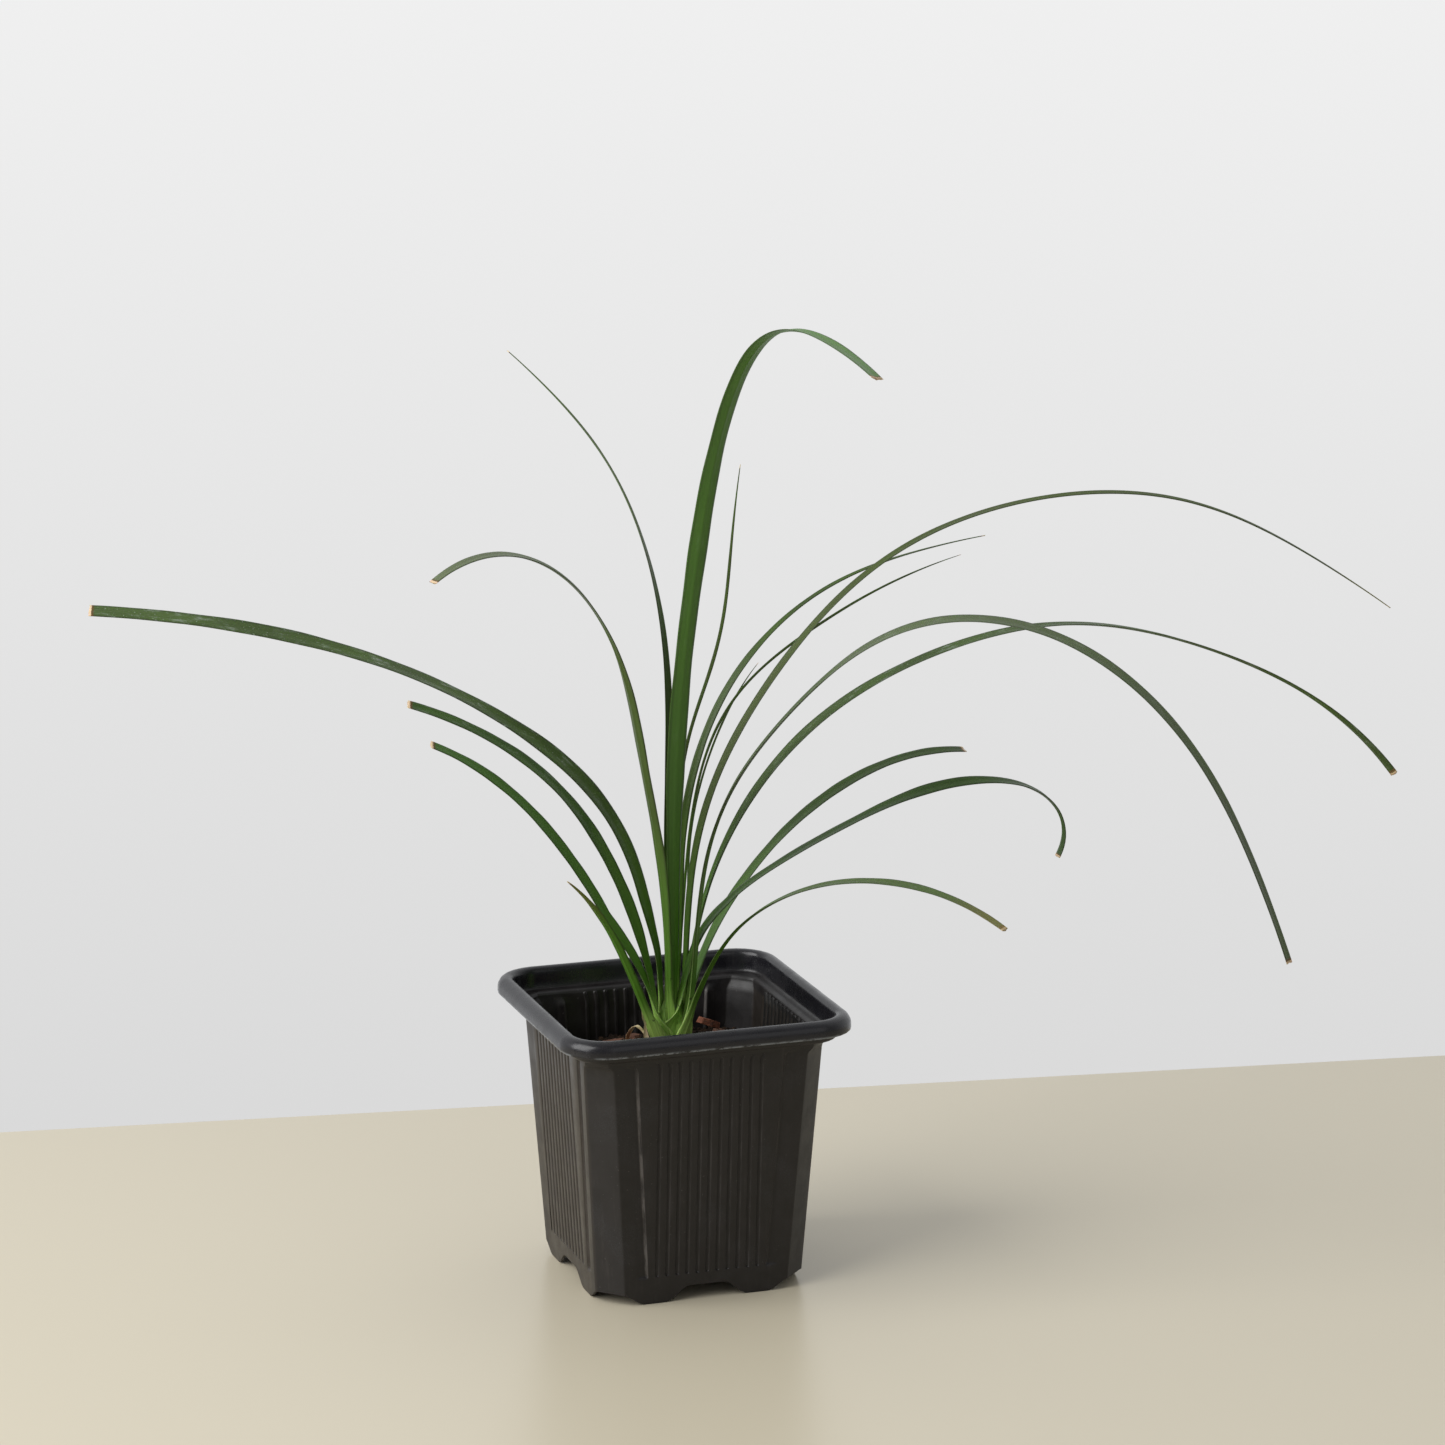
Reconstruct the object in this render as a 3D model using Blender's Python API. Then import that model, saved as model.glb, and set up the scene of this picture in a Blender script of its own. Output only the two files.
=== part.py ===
"""Potted ponytail palm: a young plant with narrow arching leaves in a square black nursery pot.

The pot is one thin moulded shell: a tapering body with cut corners and pressed grooves, a
rounded collar, a turned-down rim, and a raised floor standing on a scalloped skirt. The plant
is a root crown set in the potting soil, with every leaf a separate blade that starts on the
crown and arches out. Bark chips and a dried leaf sheath lie on the soil.

The shape is worked out about the pot's own axis, and everything is moved at the end so that
the origin is the middle of the whole plant's footprint, on the ground. Metres, +Z up.
"""

import math

import bmesh
import bpy
from mathutils import Matrix, Vector

MM = 0.001
GAP = 0.3 * MM

# Pot
RIM_HEIGHT = 95 * MM
RIM_HALF = 50 * MM
RIM_CORNER = 15 * MM
LIP_DROP = 5.4 * MM
LIP_THICKNESS = 1.0 * MM
OPENING_HALF = 44.75 * MM
OPENING_CORNER = 10.8 * MM
COLLAR_BOTTOM = 87.4 * MM
BODY_HALF_GROUND = 36.0 * MM
BODY_TAPER = 0.065
WALL = 0.9 * MM
CORNER_CUT = 8.0 * MM
FLOOR_UNDERSIDE = 5.0 * MM
FLOOR_TOP = 6.0 * MM
CORNER_STEPS = 4

# Pot skirt and holes
ARCH_HEIGHT = 5.1 * MM
ARCH_TOP_HALF = 6.5 * MM
FOOT_INNER = 14.0 * MM
FOOT_OUTER = 22.5 * MM
CORNER_LIFT = 3.5 * MM
DRAIN_RADIUS = 3.5 * MM
DRAIN_OFFSET = 19.0 * MM

# Grooves pressed in the pot's sides
RIB_COUNT = 11
RIB_PITCH = 3.5 * MM
RIB_WIDTH = 1.3 * MM
SIDE_GROOVE_WIDTH = 3.4 * MM
SIDE_GROOVE_FROM_EDGE = 6.2 * MM
GROOVE_DEPTH = 0.35 * MM
GROOVE_BOTTOM = 9.1 * MM
GROOVE_TOP = 84.0 * MM

# Soil and crown
SOIL_LEVEL = 72.0 * MM
SOIL_BULGE = 1.2 * MM
CROWN_PROFILE = (
    (0.0, 79.4),
    (3.1, 79.1),
    (3.5, 77.6),
    (5.5, 77.3),
    (5.9, 76.4),
    (7.4, 76.0),
    (8.2, 75.0),
    (8.8, 71.0),
    (9.4, 65.0),
    (8.6, 59.0),
    (6.0, 54.0),
    (3.0, 50.5),
    (0.0, 49.5),
)

# Leaf rings on the crown: radius and height where the leaf starts, and its width there
RINGS = {
    "outer": (6.6 * MM, 77.6 * MM, 3.2 * MM),
    "middle": (4.5 * MM, 78.6 * MM, 2.5 * MM),
    "inner": (2.1 * MM, 80.4 * MM, 2.2 * MM),
}
LEAF_THICKNESS = 0.7 * MM
CHANNEL = 0.16
BASE_SHARE = 0.3
LEAF_STEP = 10 * MM

# Each leaf: ring, where on the ring it starts, the way it grows, its length, its full width,
# its tip ("cut" square or "fine" point), its lean from upright at even steps along it, and how
# far its face is rolled about its own length at even steps. Angles are in degrees.
LEAVES = (
    ("middle", 151, 163, 271, 6.0, "cut", (0, 15, 50, 67, 79, 87), (20, 44, 38, 18, 44, 45)),
    ("middle", 194, 179, 159, 4.8, "cut", (6, 17, 32, 54, 71), (20, 56, 52, 44, 36)),
    ("outer", 171, 191, 144, 4.2, "cut", (12, 28, 42, 65), (30, 66, 60, 48)),
    ("outer", 214, 216, 86, 4.0, "fine", (28, 33, 55), (0, -6, -20)),
    ("middle", 243, 206, 237, 4.8, "cut", (1, 4, 13, 15, 38, 73, 118), (0, 0, 0)),
    ("inner", 121, 106, 269, 3.0, "fine", (0, 0, 0, 27, 60, 71), (0, 0, 0)),
    ("inner", 271, 279, 334, 6.6, "cut", (1, 0, 6, 14, 20, 40, 89, 109), (0, 0, 0)),
    ("inner", 31, 1, 195, 0.9, "fine", (2, 0, 3, 20, 6, 8), (0, 0, 0)),
    ("middle", 47, 13, 237, 2.8, "fine", (4, 0, 19, 50, 77, 87), (0, 0, 0)),
    ("middle", 112, 17, 223, 0.9, "fine", (18, 5, 17, 58, 71, 82), (0, 0, 0)),
    ("middle", 85, 41, 140, 0.7, "fine", (38, 0, 35, 66), (0, 0, 0)),
    ("middle", 6, 349, 370, 3.4, "fine", (0, 6, 28, 44, 70, 92, 117, 126), (0, -15, -15)),
    ("outer", 297, 315, 365, 4.8, "cut", (7, 7, 35, 52, 89, 124, 150, 160), (-8, -24, -14, -12)),
    ("middle", 324, 333, 335, 4.2, "cut", (0, 15, 35, 57, 75, 100, 117, 143), (-8, -34, -26, 10, 60)),
    ("outer", 36, 16, 161, 4.8, "cut", (5, 34, 55, 76, 100), (0, 0, -4, -14, -28)),
    ("outer", 349, 355, 196, 4.2, "cut", (2, 10, 52, 63, 68, 85, 120, 212), (-10, -18, -6, 0, -14, -32, -8, 16)),
    ("outer", 259, 299, 176, 3.4, "cut", (24, 32, 57, 75, 92, 113), (0, -6, -18, -26, -22, -12)),
)

# Bark chips: place across the soil, length, width, thickness, and how they are turned
CHIPS = (
    (11, 17, 15, 9, 3.0, 25, 24),
    (-17, 16, 12, 7, 2.4, 160, 12),
    (-23, -6, 10, 6, 2.2, 70, -10),
    (18, -19, 13, 7, 2.6, 110, 8),
    (-9, -24, 11, 8, 2.4, 15, -14),
    (25, 4, 9, 5, 2.0, 60, 12),
    (-5, 27, 10, 6, 2.2, 95, 10),
    (-27, 26, 8, 6, 2.0, 30, 0),
    (27, 27, 9, 6, 2.2, 140, -12),
    (-27, -26, 9, 5, 2.0, 120, 10),
    (29, -27, 7, 5, 1.8, 20, 0),
)

COLOURS = {
    "pot": ((0.026, 0.024, 0.023), 0.45),
    "soil": ((0.035, 0.022, 0.015), 0.95),
    "crown": ((0.30, 0.38, 0.10), 0.6),
    "leaf": ((0.045, 0.13, 0.025), 0.4),
    "bark": ((0.16, 0.06, 0.03), 0.85),
    "dried_sheath": ((0.50, 0.32, 0.17), 0.8),
}


def clear_scene():
    """Remove whatever the file starts with."""
    for obj in list(bpy.data.objects):
        bpy.data.objects.remove(obj, do_unlink=True)


def new_collection(name):
    """A collection linked to the scene."""
    collection = bpy.data.collections.new(name)
    bpy.context.scene.collection.children.link(collection)
    return collection


def material(part, name):
    """A Principled material of its own for one part."""
    colour, roughness = COLOURS[name]
    made = bpy.data.materials.new(part)
    made.use_nodes = True
    shader = made.node_tree.nodes["Principled BSDF"]
    shader.inputs["Base Color"].default_value = (*colour, 1.0)
    shader.inputs["Roughness"].default_value = roughness
    return made


def add_object(name, bm, collection, finish=None):
    """Turn a bmesh into an object, smooth except at sharp edges."""
    bmesh.ops.recalc_face_normals(bm, faces=bm.faces)
    mesh = bpy.data.meshes.new(name)
    bm.to_mesh(mesh)
    bm.free()
    obj = bpy.data.objects.new(name, mesh)
    collection.objects.link(obj)
    if finish:
        mesh.materials.append(material(name, finish))
        mesh.shade_smooth()
        mesh.set_sharp_from_angle(angle=math.radians(35))
    return obj


def add_cutter(name, bm, collection):
    """A hidden helper that a Boolean cuts with."""
    obj = add_object(name, bm, collection)
    obj.hide_render = True
    obj.display_type = "WIRE"
    return obj


def cut(obj, cutter):
    """Take the cutter's shape out of the object."""
    modifier = obj.modifiers.new(cutter.name, "BOOLEAN")
    modifier.operation = "DIFFERENCE"
    modifier.solver = "EXACT"
    modifier.object = cutter


def loft(bm, rings):
    """Skin equal rings of points in order, and close both ends."""
    loops = [[bm.verts.new(point) for point in ring] for ring in rings]
    count = len(loops[0])
    for lower, upper in zip(loops, loops[1:]):
        for i in range(count):
            j = (i + 1) % count
            bm.faces.new((lower[i], lower[j], upper[j], upper[i]))
    bm.faces.new(loops[0][::-1])
    bm.faces.new(loops[-1])


def square_ring(z, half, corner, roundness):
    """A square outline whose corners run from a straight cut (0) to a quarter circle (1)."""
    ring = []
    for quarter in range(4):
        turn = Matrix.Rotation(quarter * math.pi / 2, 3, "Z")
        for step in range(CORNER_STEPS + 1):
            share = step / CORNER_STEPS
            angle = share * math.pi / 2
            straight = Vector((half - corner * share, half - corner * (1 - share), z))
            centre = half - corner
            arc = Vector((centre + corner * math.cos(angle), centre + corner * math.sin(angle), z))
            ring.append(turn @ straight.lerp(arc, roundness))
    return ring


def body_half(z):
    """Half the outside width of the pot's body at a height."""
    return BODY_HALF_GROUND + BODY_TAPER * z


def pot_rings():
    """The pot's section, from the floor's underside round the skirt, rim and inside to the floor."""
    inner_cut = CORNER_CUT - WALL * (2 - math.sqrt(2))
    rows = [
        (FLOOR_UNDERSIDE, body_half(FLOOR_UNDERSIDE) - WALL, inner_cut, 0),
        (0, BODY_HALF_GROUND - WALL, inner_cut, 0),
        (0, BODY_HALF_GROUND, CORNER_CUT, 0),
        (82.5 * MM, body_half(82.5 * MM), CORNER_CUT, 0),
        (86.0 * MM, body_half(86.0 * MM), 5.4 * MM, 0),
        (86.5 * MM, OPENING_HALF - 0.3 * MM, OPENING_CORNER, 1),
        (87.6 * MM, OPENING_HALF + 0.8 * MM, OPENING_CORNER + 0.4 * MM, 1),
        (93.0 * MM, OPENING_HALF + 1.1 * MM, OPENING_CORNER + 0.6 * MM, 1),
        (93.7 * MM, OPENING_HALF + 2.0 * MM, OPENING_CORNER + 1.4 * MM, 1),
        (93.0 * MM, RIM_HALF - 1.6 * MM, RIM_CORNER - 1.2 * MM, 1),
        (RIM_HEIGHT - LIP_DROP, RIM_HALF - LIP_THICKNESS, RIM_CORNER - 0.8 * MM, 1),
        (RIM_HEIGHT - LIP_DROP, RIM_HALF, RIM_CORNER, 1),
        (92.8 * MM, RIM_HALF - 0.1 * MM, RIM_CORNER, 1),
        (94.3 * MM, RIM_HALF - 0.8 * MM, RIM_CORNER - 0.6 * MM, 1),
        (RIM_HEIGHT, RIM_HALF - 2.3 * MM, RIM_CORNER - 1.8 * MM, 1),
        (94.8 * MM, OPENING_HALF + 1.3 * MM, OPENING_CORNER + 1.1 * MM, 1),
        (94.0 * MM, OPENING_HALF + 0.3 * MM, OPENING_CORNER + 0.3 * MM, 1),
        (92.6 * MM, OPENING_HALF, OPENING_CORNER, 1),
        (88.2 * MM, OPENING_HALF - 0.2 * MM, OPENING_CORNER - 0.1 * MM, 1),
        (COLLAR_BOTTOM, OPENING_HALF - 0.9 * MM, OPENING_CORNER - 0.5 * MM, 1),
        (87.0 * MM, body_half(87 * MM) - WALL + 0.3 * MM, 5.6 * MM, 0.3),
        (86.4 * MM, body_half(86.4 * MM) - WALL, 5.0 * MM, 0),
        (82.5 * MM, body_half(82.5 * MM) - WALL, inner_cut, 0),
        (FLOOR_TOP, body_half(FLOOR_TOP) - WALL, inner_cut, 0),
    ]
    return [square_ring(*row) for row in rows]


def prism_on_side(bm, outline, depth_in, depth_out, quarter):
    """A block on one side of the pot: outline in (across, up), standing on the sloping face."""
    turn = Matrix.Rotation(quarter * math.pi / 2, 4, "Z")
    rings = []
    for offset in (-depth_in, depth_out):
        ring = []
        for across, up in outline:
            ring.append(turn @ Vector((across, -(body_half(up) + offset), up)))
        rings.append(ring)
    loft(bm, rings)


def groove_outline(centre_low, centre_high, width):
    """A straight groove between the groove heights."""
    half = width / 2
    return (
        (centre_low - half, GROOVE_BOTTOM + half),
        (centre_low, GROOVE_BOTTOM),
        (centre_low + half, GROOVE_BOTTOM + half),
        (centre_high + half, GROOVE_TOP),
        (centre_high - half, GROOVE_TOP),
    )


def add_grooves(pot, helpers):
    """Narrow upright grooves across each side, and one wide groove along each corner."""
    bm = bmesh.new()
    first = -(RIB_COUNT - 1) / 2 * RIB_PITCH
    low = body_half(GROOVE_BOTTOM) - CORNER_CUT - SIDE_GROOVE_FROM_EDGE
    high = body_half(GROOVE_TOP) - CORNER_CUT - SIDE_GROOVE_FROM_EDGE
    for quarter in range(4):
        for i in range(RIB_COUNT):
            across = first + i * RIB_PITCH
            outline = groove_outline(across, across, RIB_WIDTH)
            prism_on_side(bm, outline, GROOVE_DEPTH, 1 * MM, quarter)
        for side in (-1, 1):
            outline = groove_outline(side * low, side * high, SIDE_GROOVE_WIDTH)
            prism_on_side(bm, outline, GROOVE_DEPTH, 1 * MM, quarter)
    cut(pot, add_cutter("groove_cutter", bm, helpers))


def add_skirt_cuts(pot, helpers):
    """The arch in the middle of each side of the skirt, and the lift under each corner."""
    below = -3 * MM
    half = FOOT_OUTER + 5 * MM
    arch = [
        (-FOOT_INNER, 0),
        (-FOOT_INNER, below),
        (FOOT_INNER, below),
        (FOOT_INNER, 0),
        (FOOT_INNER - 1.5 * MM, 1.4 * MM),
        (ARCH_TOP_HALF + 1.5 * MM, ARCH_HEIGHT - 1 * MM),
        (ARCH_TOP_HALF, ARCH_HEIGHT - GAP),
        (-ARCH_TOP_HALF, ARCH_HEIGHT - GAP),
        (-ARCH_TOP_HALF - 1.5 * MM, ARCH_HEIGHT - 1 * MM),
        (-FOOT_INNER + 1.5 * MM, 1.4 * MM),
    ]
    bm = bmesh.new()
    for quarter in range(4):
        prism_on_side(bm, arch, 2.5 * MM, 2 * MM, quarter)
    cut(pot, add_cutter("arch_cutter", bm, helpers))
    bm = bmesh.new()
    far = BODY_HALF_GROUND + 5 * MM
    for quarter in range(4):
        turn = Matrix.Rotation(quarter * math.pi / 2, 4, "Z")
        lower = [(FOOT_OUTER, far), (FOOT_OUTER, FOOT_OUTER), (far, FOOT_OUTER), (far, far)]
        middle = [(FOOT_OUTER, far), (FOOT_OUTER, FOOT_OUTER), (far, FOOT_OUTER), (far, far)]
        upper = [(half, far), (half, half), (far, half), (far, far)]
        rings = []
        for z, outline in ((below, lower), (0, middle), (CORNER_LIFT, upper)):
            rings.append([turn @ Vector((x, y, z)) for x, y in outline])
        loft(bm, rings)
    cut(pot, add_cutter("corner_lift_cutter", bm, helpers))


def add_drain_holes(pot, helpers):
    """One hole in the middle of the floor and four towards its corners."""
    bm = bmesh.new()
    places = [(0, 0)]
    for x in (-DRAIN_OFFSET, DRAIN_OFFSET):
        for y in (-DRAIN_OFFSET, DRAIN_OFFSET):
            places.append((x, y))
    for x, y in places:
        bmesh.ops.create_cone(
            bm,
            cap_ends=True,
            segments=16,
            radius1=DRAIN_RADIUS,
            radius2=DRAIN_RADIUS,
            depth=4 * MM,
            matrix=Matrix.Translation((x, y, FLOOR_UNDERSIDE + 0.5 * MM)),
        )
    cut(pot, add_cutter("drain_cutter", bm, helpers))


def make_pot(parts, helpers):
    """The moulded pot with its grooves, skirt cuts and drain holes."""
    bm = bmesh.new()
    loft(bm, pot_rings())
    pot = add_object("pot", bm, parts, "pot")
    add_grooves(pot, helpers)
    add_skirt_cuts(pot, helpers)
    add_drain_holes(pot, helpers)
    return pot


def turned(profile, grow):
    """A turned solid from (radius, height) pairs in millimetres, made larger by grow."""
    bm = bmesh.new()
    segments = 20
    rings = []
    for radius, z in profile[1:-1]:
        ring = []
        for i in range(segments):
            angle = i / segments * 2 * math.pi
            out = radius * MM + grow
            ring.append((out * math.cos(angle), out * math.sin(angle), z * MM))
        rings.append(ring)
    loft(bm, rings[::-1])
    return bm


def make_crown(parts):
    """The swollen root crown that the leaves grow from."""
    bm = turned(CROWN_PROFILE, 0)
    return add_object("root_crown", bm, parts, "crown")


def make_soil(parts, helpers):
    """The potting soil, slightly domed, with a socket for the crown."""
    bm = bmesh.new()
    inner_cut = CORNER_CUT
    rings = []
    for z, inset in ((FLOOR_TOP + GAP, 0), (SOIL_LEVEL - 0.8 * MM, 0), (SOIL_LEVEL, 2.5 * MM)):
        half = body_half(z) - WALL - 1.5 * GAP - inset
        rings.append(square_ring(z, half, inner_cut, 0))
    rings.append(square_ring(SOIL_LEVEL + SOIL_BULGE, 14 * MM, 7 * MM, 0.8))
    loft(bm, rings)
    soil = add_object("potting_soil", bm, parts, "soil")
    socket = list(CROWN_PROFILE)
    socket[-2] = (socket[-2][0], socket[-2][1] - 0.5)
    cut(soil, add_cutter("crown_socket_cutter", turned(socket, 1.4 * GAP), helpers))
    return soil


def smooth(values, share):
    """A value between evenly spaced values, on a smooth curve through them all."""
    last = len(values) - 1
    place = min(max(share, 0.0), 1.0) * last
    i = min(int(place), last - 1)
    u = place - i
    here = values[i]
    after = values[i + 1]
    before = values[i - 1] if i > 0 else 2 * here - after
    beyond = values[i + 2] if i + 2 <= last else 2 * after - here
    return 0.5 * (
        2 * here
        + (after - before) * u
        + (2 * before - 5 * here + 4 * after - beyond) * u**2
        + (3 * here - before - 3 * after + beyond) * u**3
    )


def leaf_width(share, base, full, tip):
    """The blade's width along it: it widens from the base and narrows to its tip."""
    rise = min(share / BASE_SHARE, 1.0)
    width = base + (full - base) * rise * rise * (3 - 2 * rise)
    if tip == "cut":
        return width * (1 - 0.3 * max(0.0, share - 0.6) / 0.4)
    return width * (1 - 0.85 * (max(0.0, share - 0.45) / 0.55) ** 1.5)


def leaf_rings(leaf):
    """Sections of one blade: a shallow channel, open upwards, six points each."""
    ring, start, heading, length, full, tip, leans, rolls = leaf
    radius, height, base = RINGS[ring]
    start = math.radians(start)
    heading = math.radians(heading)
    length = length * MM
    full = full * MM
    base = min(base, full * 1.2)
    steps = max(10, round(length / LEAF_STEP))
    place = Vector((radius * math.cos(start), radius * math.sin(start), height))
    outward = Vector((math.cos(heading), math.sin(heading), 0))
    across = Vector((-math.sin(heading), math.cos(heading), 0))
    rings = []
    for i in range(steps + 1):
        share = i / steps
        lean = math.radians(smooth(leans, share))
        along = math.sin(lean) * outward + math.cos(lean) * Vector((0, 0, 1))
        face = -math.cos(lean) * outward + math.sin(lean) * Vector((0, 0, 1))
        roll = math.radians(smooth(rolls, share))
        side = math.cos(roll) * across - math.sin(roll) * face
        up = math.cos(roll) * face + math.sin(roll) * across
        half = leaf_width(share, base, full, tip) / 2
        thick = min(LEAF_THICKNESS, half * 0.9) / 2
        dip = CHANNEL * half
        rings.append(
            [
                place + side * half + up * (dip + thick * 0.4),
                place + up * (thick - dip),
                place - side * half + up * (dip + thick * 0.4),
                place - side * half + up * (dip - thick * 0.6),
                place - up * (thick + dip),
                place + side * half + up * (dip - thick * 0.6),
            ]
        )
        middle = math.radians(smooth(leans, (i + 0.5) / steps))
        along = math.sin(middle) * outward + math.cos(middle) * Vector((0, 0, 1))
        place = place + along * (length / steps)
    return rings


def make_leaves(parts):
    """Every blade as its own part."""
    for number, leaf in enumerate(LEAVES, 1):
        bm = bmesh.new()
        loft(bm, leaf_rings(leaf))
        add_object(f"leaf_{number:02d}", bm, parts, "leaf")


def make_chips(parts):
    """Flat, uneven pieces of bark lying on the soil."""
    for number, (x, y, length, width, thick, turn, tilt) in enumerate(CHIPS, 1):
        bm = bmesh.new()
        bottom = []
        top = []
        for i in range(7):
            angle = i / 7 * 2 * math.pi
            reach = 1 + 0.14 * math.sin(3 * angle + number * 1.7)
            across = math.cos(angle) * length / 2 * reach
            up = math.sin(angle) * width / 2 * reach
            bottom.append(Vector((across, up, -thick / 2)) * MM)
            top.append(Vector((across * 0.9, up * 0.86, thick / 2)) * MM)
        loft(bm, (bottom, top))
        pose = Matrix.Rotation(math.radians(turn), 4, "Z") @ Matrix.Rotation(math.radians(tilt), 4, "Y")
        bm.transform(pose)
        lowest = min(vert.co.z for vert in bm.verts)
        rest = SOIL_LEVEL + SOIL_BULGE + GAP
        bm.transform(Matrix.Translation((x * MM, y * MM, rest - lowest)))
        add_object(f"bark_chip_{number:02d}", bm, parts, "bark")


def make_dried_sheath(parts):
    """A dried sheath that has curled over beside the crown, as a thin bent strip."""
    path = [
        Vector((-10.6, -4.4, 74.0)),
        Vector((-12.0, -3.6, 78.0)),
        Vector((-12.6, -3.2, 81.6)),
        Vector((-12.0, -3.0, 84.0)),
        Vector((-10.8, -3.0, 84.4)),
        Vector((-10.0, -3.2, 82.8)),
        Vector((-9.6, -3.6, 80.0)),
    ]
    across = Vector((0.35, 0.9, 0.1)).normalized()
    half_widths = (0.5, 0.8, 1.0, 1.0, 0.9, 0.7, 0.3)
    rings = []
    for i, (place, half) in enumerate(zip(path, half_widths)):
        along = (path[min(i + 1, len(path) - 1)] - path[max(i - 1, 0)]).normalized()
        up = across.cross(along).normalized()
        corners = ((half, 0.18), (-half, 0.18), (-half, -0.18), (half, -0.18))
        rings.append([(place + across * a + up * b) * MM for a, b in corners])
    bm = bmesh.new()
    loft(bm, rings)
    add_object("dried_sheath", bm, parts, "dried_sheath")


def centre_on_footprint(parts):
    """Put the middle of the whole footprint at the origin, by moving the parts' parent."""
    bpy.context.view_layer.update()
    corners = [obj.matrix_world @ Vector(c) for obj in parts.objects for c in obj.bound_box]
    middle_x = (min(c.x for c in corners) + max(c.x for c in corners)) / 2
    middle_y = (min(c.y for c in corners) + max(c.y for c in corners)) / 2
    plant = bpy.data.objects.new("ponytail_palm_origin", None)
    for collection in bpy.data.collections:
        for obj in collection.objects:
            obj.parent = plant
    parts.objects.link(plant)
    plant.location = (-middle_x, -middle_y, 0)


def main():
    clear_scene()
    parts = new_collection("potted_ponytail_palm")
    helpers = new_collection("cutters")
    make_pot(parts, helpers)
    make_soil(parts, helpers)
    make_crown(parts)
    make_leaves(parts)
    make_dried_sheath(parts)
    make_chips(parts)
    centre_on_footprint(parts)


main()
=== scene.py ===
"""Potted ponytail palm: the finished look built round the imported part.

A young ponytail palm with narrow, channelled, arching blades stands in a square black nursery
pot. Everything is placed about the pot's own axis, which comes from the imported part. Metres.
"""

import math

import bmesh
import bpy
from bpy.props import (
    FloatProperty,
    FloatVectorProperty,
    IntProperty,
    PointerProperty,
)
from mathutils import Matrix, Vector, noise


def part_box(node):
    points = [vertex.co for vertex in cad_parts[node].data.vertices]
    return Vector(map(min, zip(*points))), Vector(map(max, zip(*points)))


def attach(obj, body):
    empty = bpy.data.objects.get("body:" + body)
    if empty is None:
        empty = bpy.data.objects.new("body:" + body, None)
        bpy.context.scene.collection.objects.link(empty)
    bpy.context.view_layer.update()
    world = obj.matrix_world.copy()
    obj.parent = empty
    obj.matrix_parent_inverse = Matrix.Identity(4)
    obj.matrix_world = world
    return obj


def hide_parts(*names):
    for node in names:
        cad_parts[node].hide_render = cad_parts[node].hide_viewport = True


bl_info = {
    "name": "Potted Ponytail Palm",
    "version": (1, 0, 0),
    "blender": (4, 5, 0),
    "location": "3D View > Sidebar > Palm",
    "description": "Builds a young ponytail palm in a square ribbed nursery pot",
    "category": "Add Mesh",
}

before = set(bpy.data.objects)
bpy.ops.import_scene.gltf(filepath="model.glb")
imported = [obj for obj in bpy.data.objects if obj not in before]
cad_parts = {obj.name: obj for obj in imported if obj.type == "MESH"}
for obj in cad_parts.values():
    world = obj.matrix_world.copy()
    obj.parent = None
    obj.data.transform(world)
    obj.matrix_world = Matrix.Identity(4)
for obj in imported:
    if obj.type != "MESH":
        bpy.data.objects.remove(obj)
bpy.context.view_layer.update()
POT_LOW, POT_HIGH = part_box("pot")
AXIS = Vector(((POT_LOW.x + POT_HIGH.x) / 2, (POT_LOW.y + POT_HIGH.y) / 2, 0))
MM = 0.001
FULL_TURN = 6.283
GOLDEN_ANGLE = 2.39996

# Pot, in millimetres
RIM_HALF = (POT_HIGH.x - POT_LOW.x) / 2 / MM
BODY_HALF_GROUND = 36.0
BODY_TAPER = 0.065
CORNER_CUT = 8.0
RIB_COUNT = 11
RIB_PITCH = 3.5
# The left and right sides: how far their ribbed panels sit towards the back, how much deeper
# their ribs are pressed, and how shallow the trough beside the back corner is
SIDE_SHIFT = 2.1
SIDE_DEPTH = 1.7
BACK_TROUGH = 0.1
# The grooves run between these heights, and each is rounded off over this much at its ends
GROOVE_BOTTOM = 9.1
GROOVE_TOP = 84.2
GROOVE_ROUND = 0.85
RIM_FLAT = 33.6
INNER_RIB_TOP = 86.2
TROUGH_DEPTH = 0.85
DRAIN_RADIUS = 3.5
DRAIN_OFFSET = 19.0

# Leaf rings on the crown: radius and height where the blade starts, its width there, all in
# millimetres, then the extra width where the base clasps the crown, and the radius it wraps to
RINGS = {
    "outer": (6.6, 77.6, 3.2, 5.5, 6.8),
    "middle": (4.5, 78.6, 2.5, 4.6, 5.0),
    "inner": (2.1, 80.4, 2.2, 2.4, 3.2),
}
# Sheaths that are broader or narrower than their ring's others
SHEATH_WIDTHS = {"leaf_16": 12.0, "leaf_03": 8.5, "leaf_04": 6.0, "leaf_17": 3.0}
# How the lowest part of a blade is pressed aside by its neighbours, in millimetres at every
# 10 mm up it: sideways, then forwards
SETTLE = {
    "leaf_01": ((0.8, 1.0, 1.2, 1.4, 0.6, 0), (0, 0, 0, 0, 0, 0)),
    "leaf_03": ((3.3, 3.7, 3.8, 3.0, 1.6, 0), (3.5, 2.8, 1.5, 0.5, 0, 0)),
    "leaf_09": ((-1.0, -1.2, -1.3, -0.8, -0.4, 0), (0, 0, 0, 0, 0, 0)),
    "leaf_16": ((-7.3, -5.9, -4.2, -2.7, -1.5, 0), (7.0, 5.5, 3.6, 2.0, 0.8, 0)),
    "leaf_17": ((1.5, 1.1, 0.5, 0.3, 0.1, 0), (0, 0, 0, 0, 0, 0)),
}
SIDEWAYS = Vector((0.947, -0.321, 0))
FORWARDS = Vector((-0.321, -0.947, 0))
SETTLE_STEP = 10.0

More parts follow.
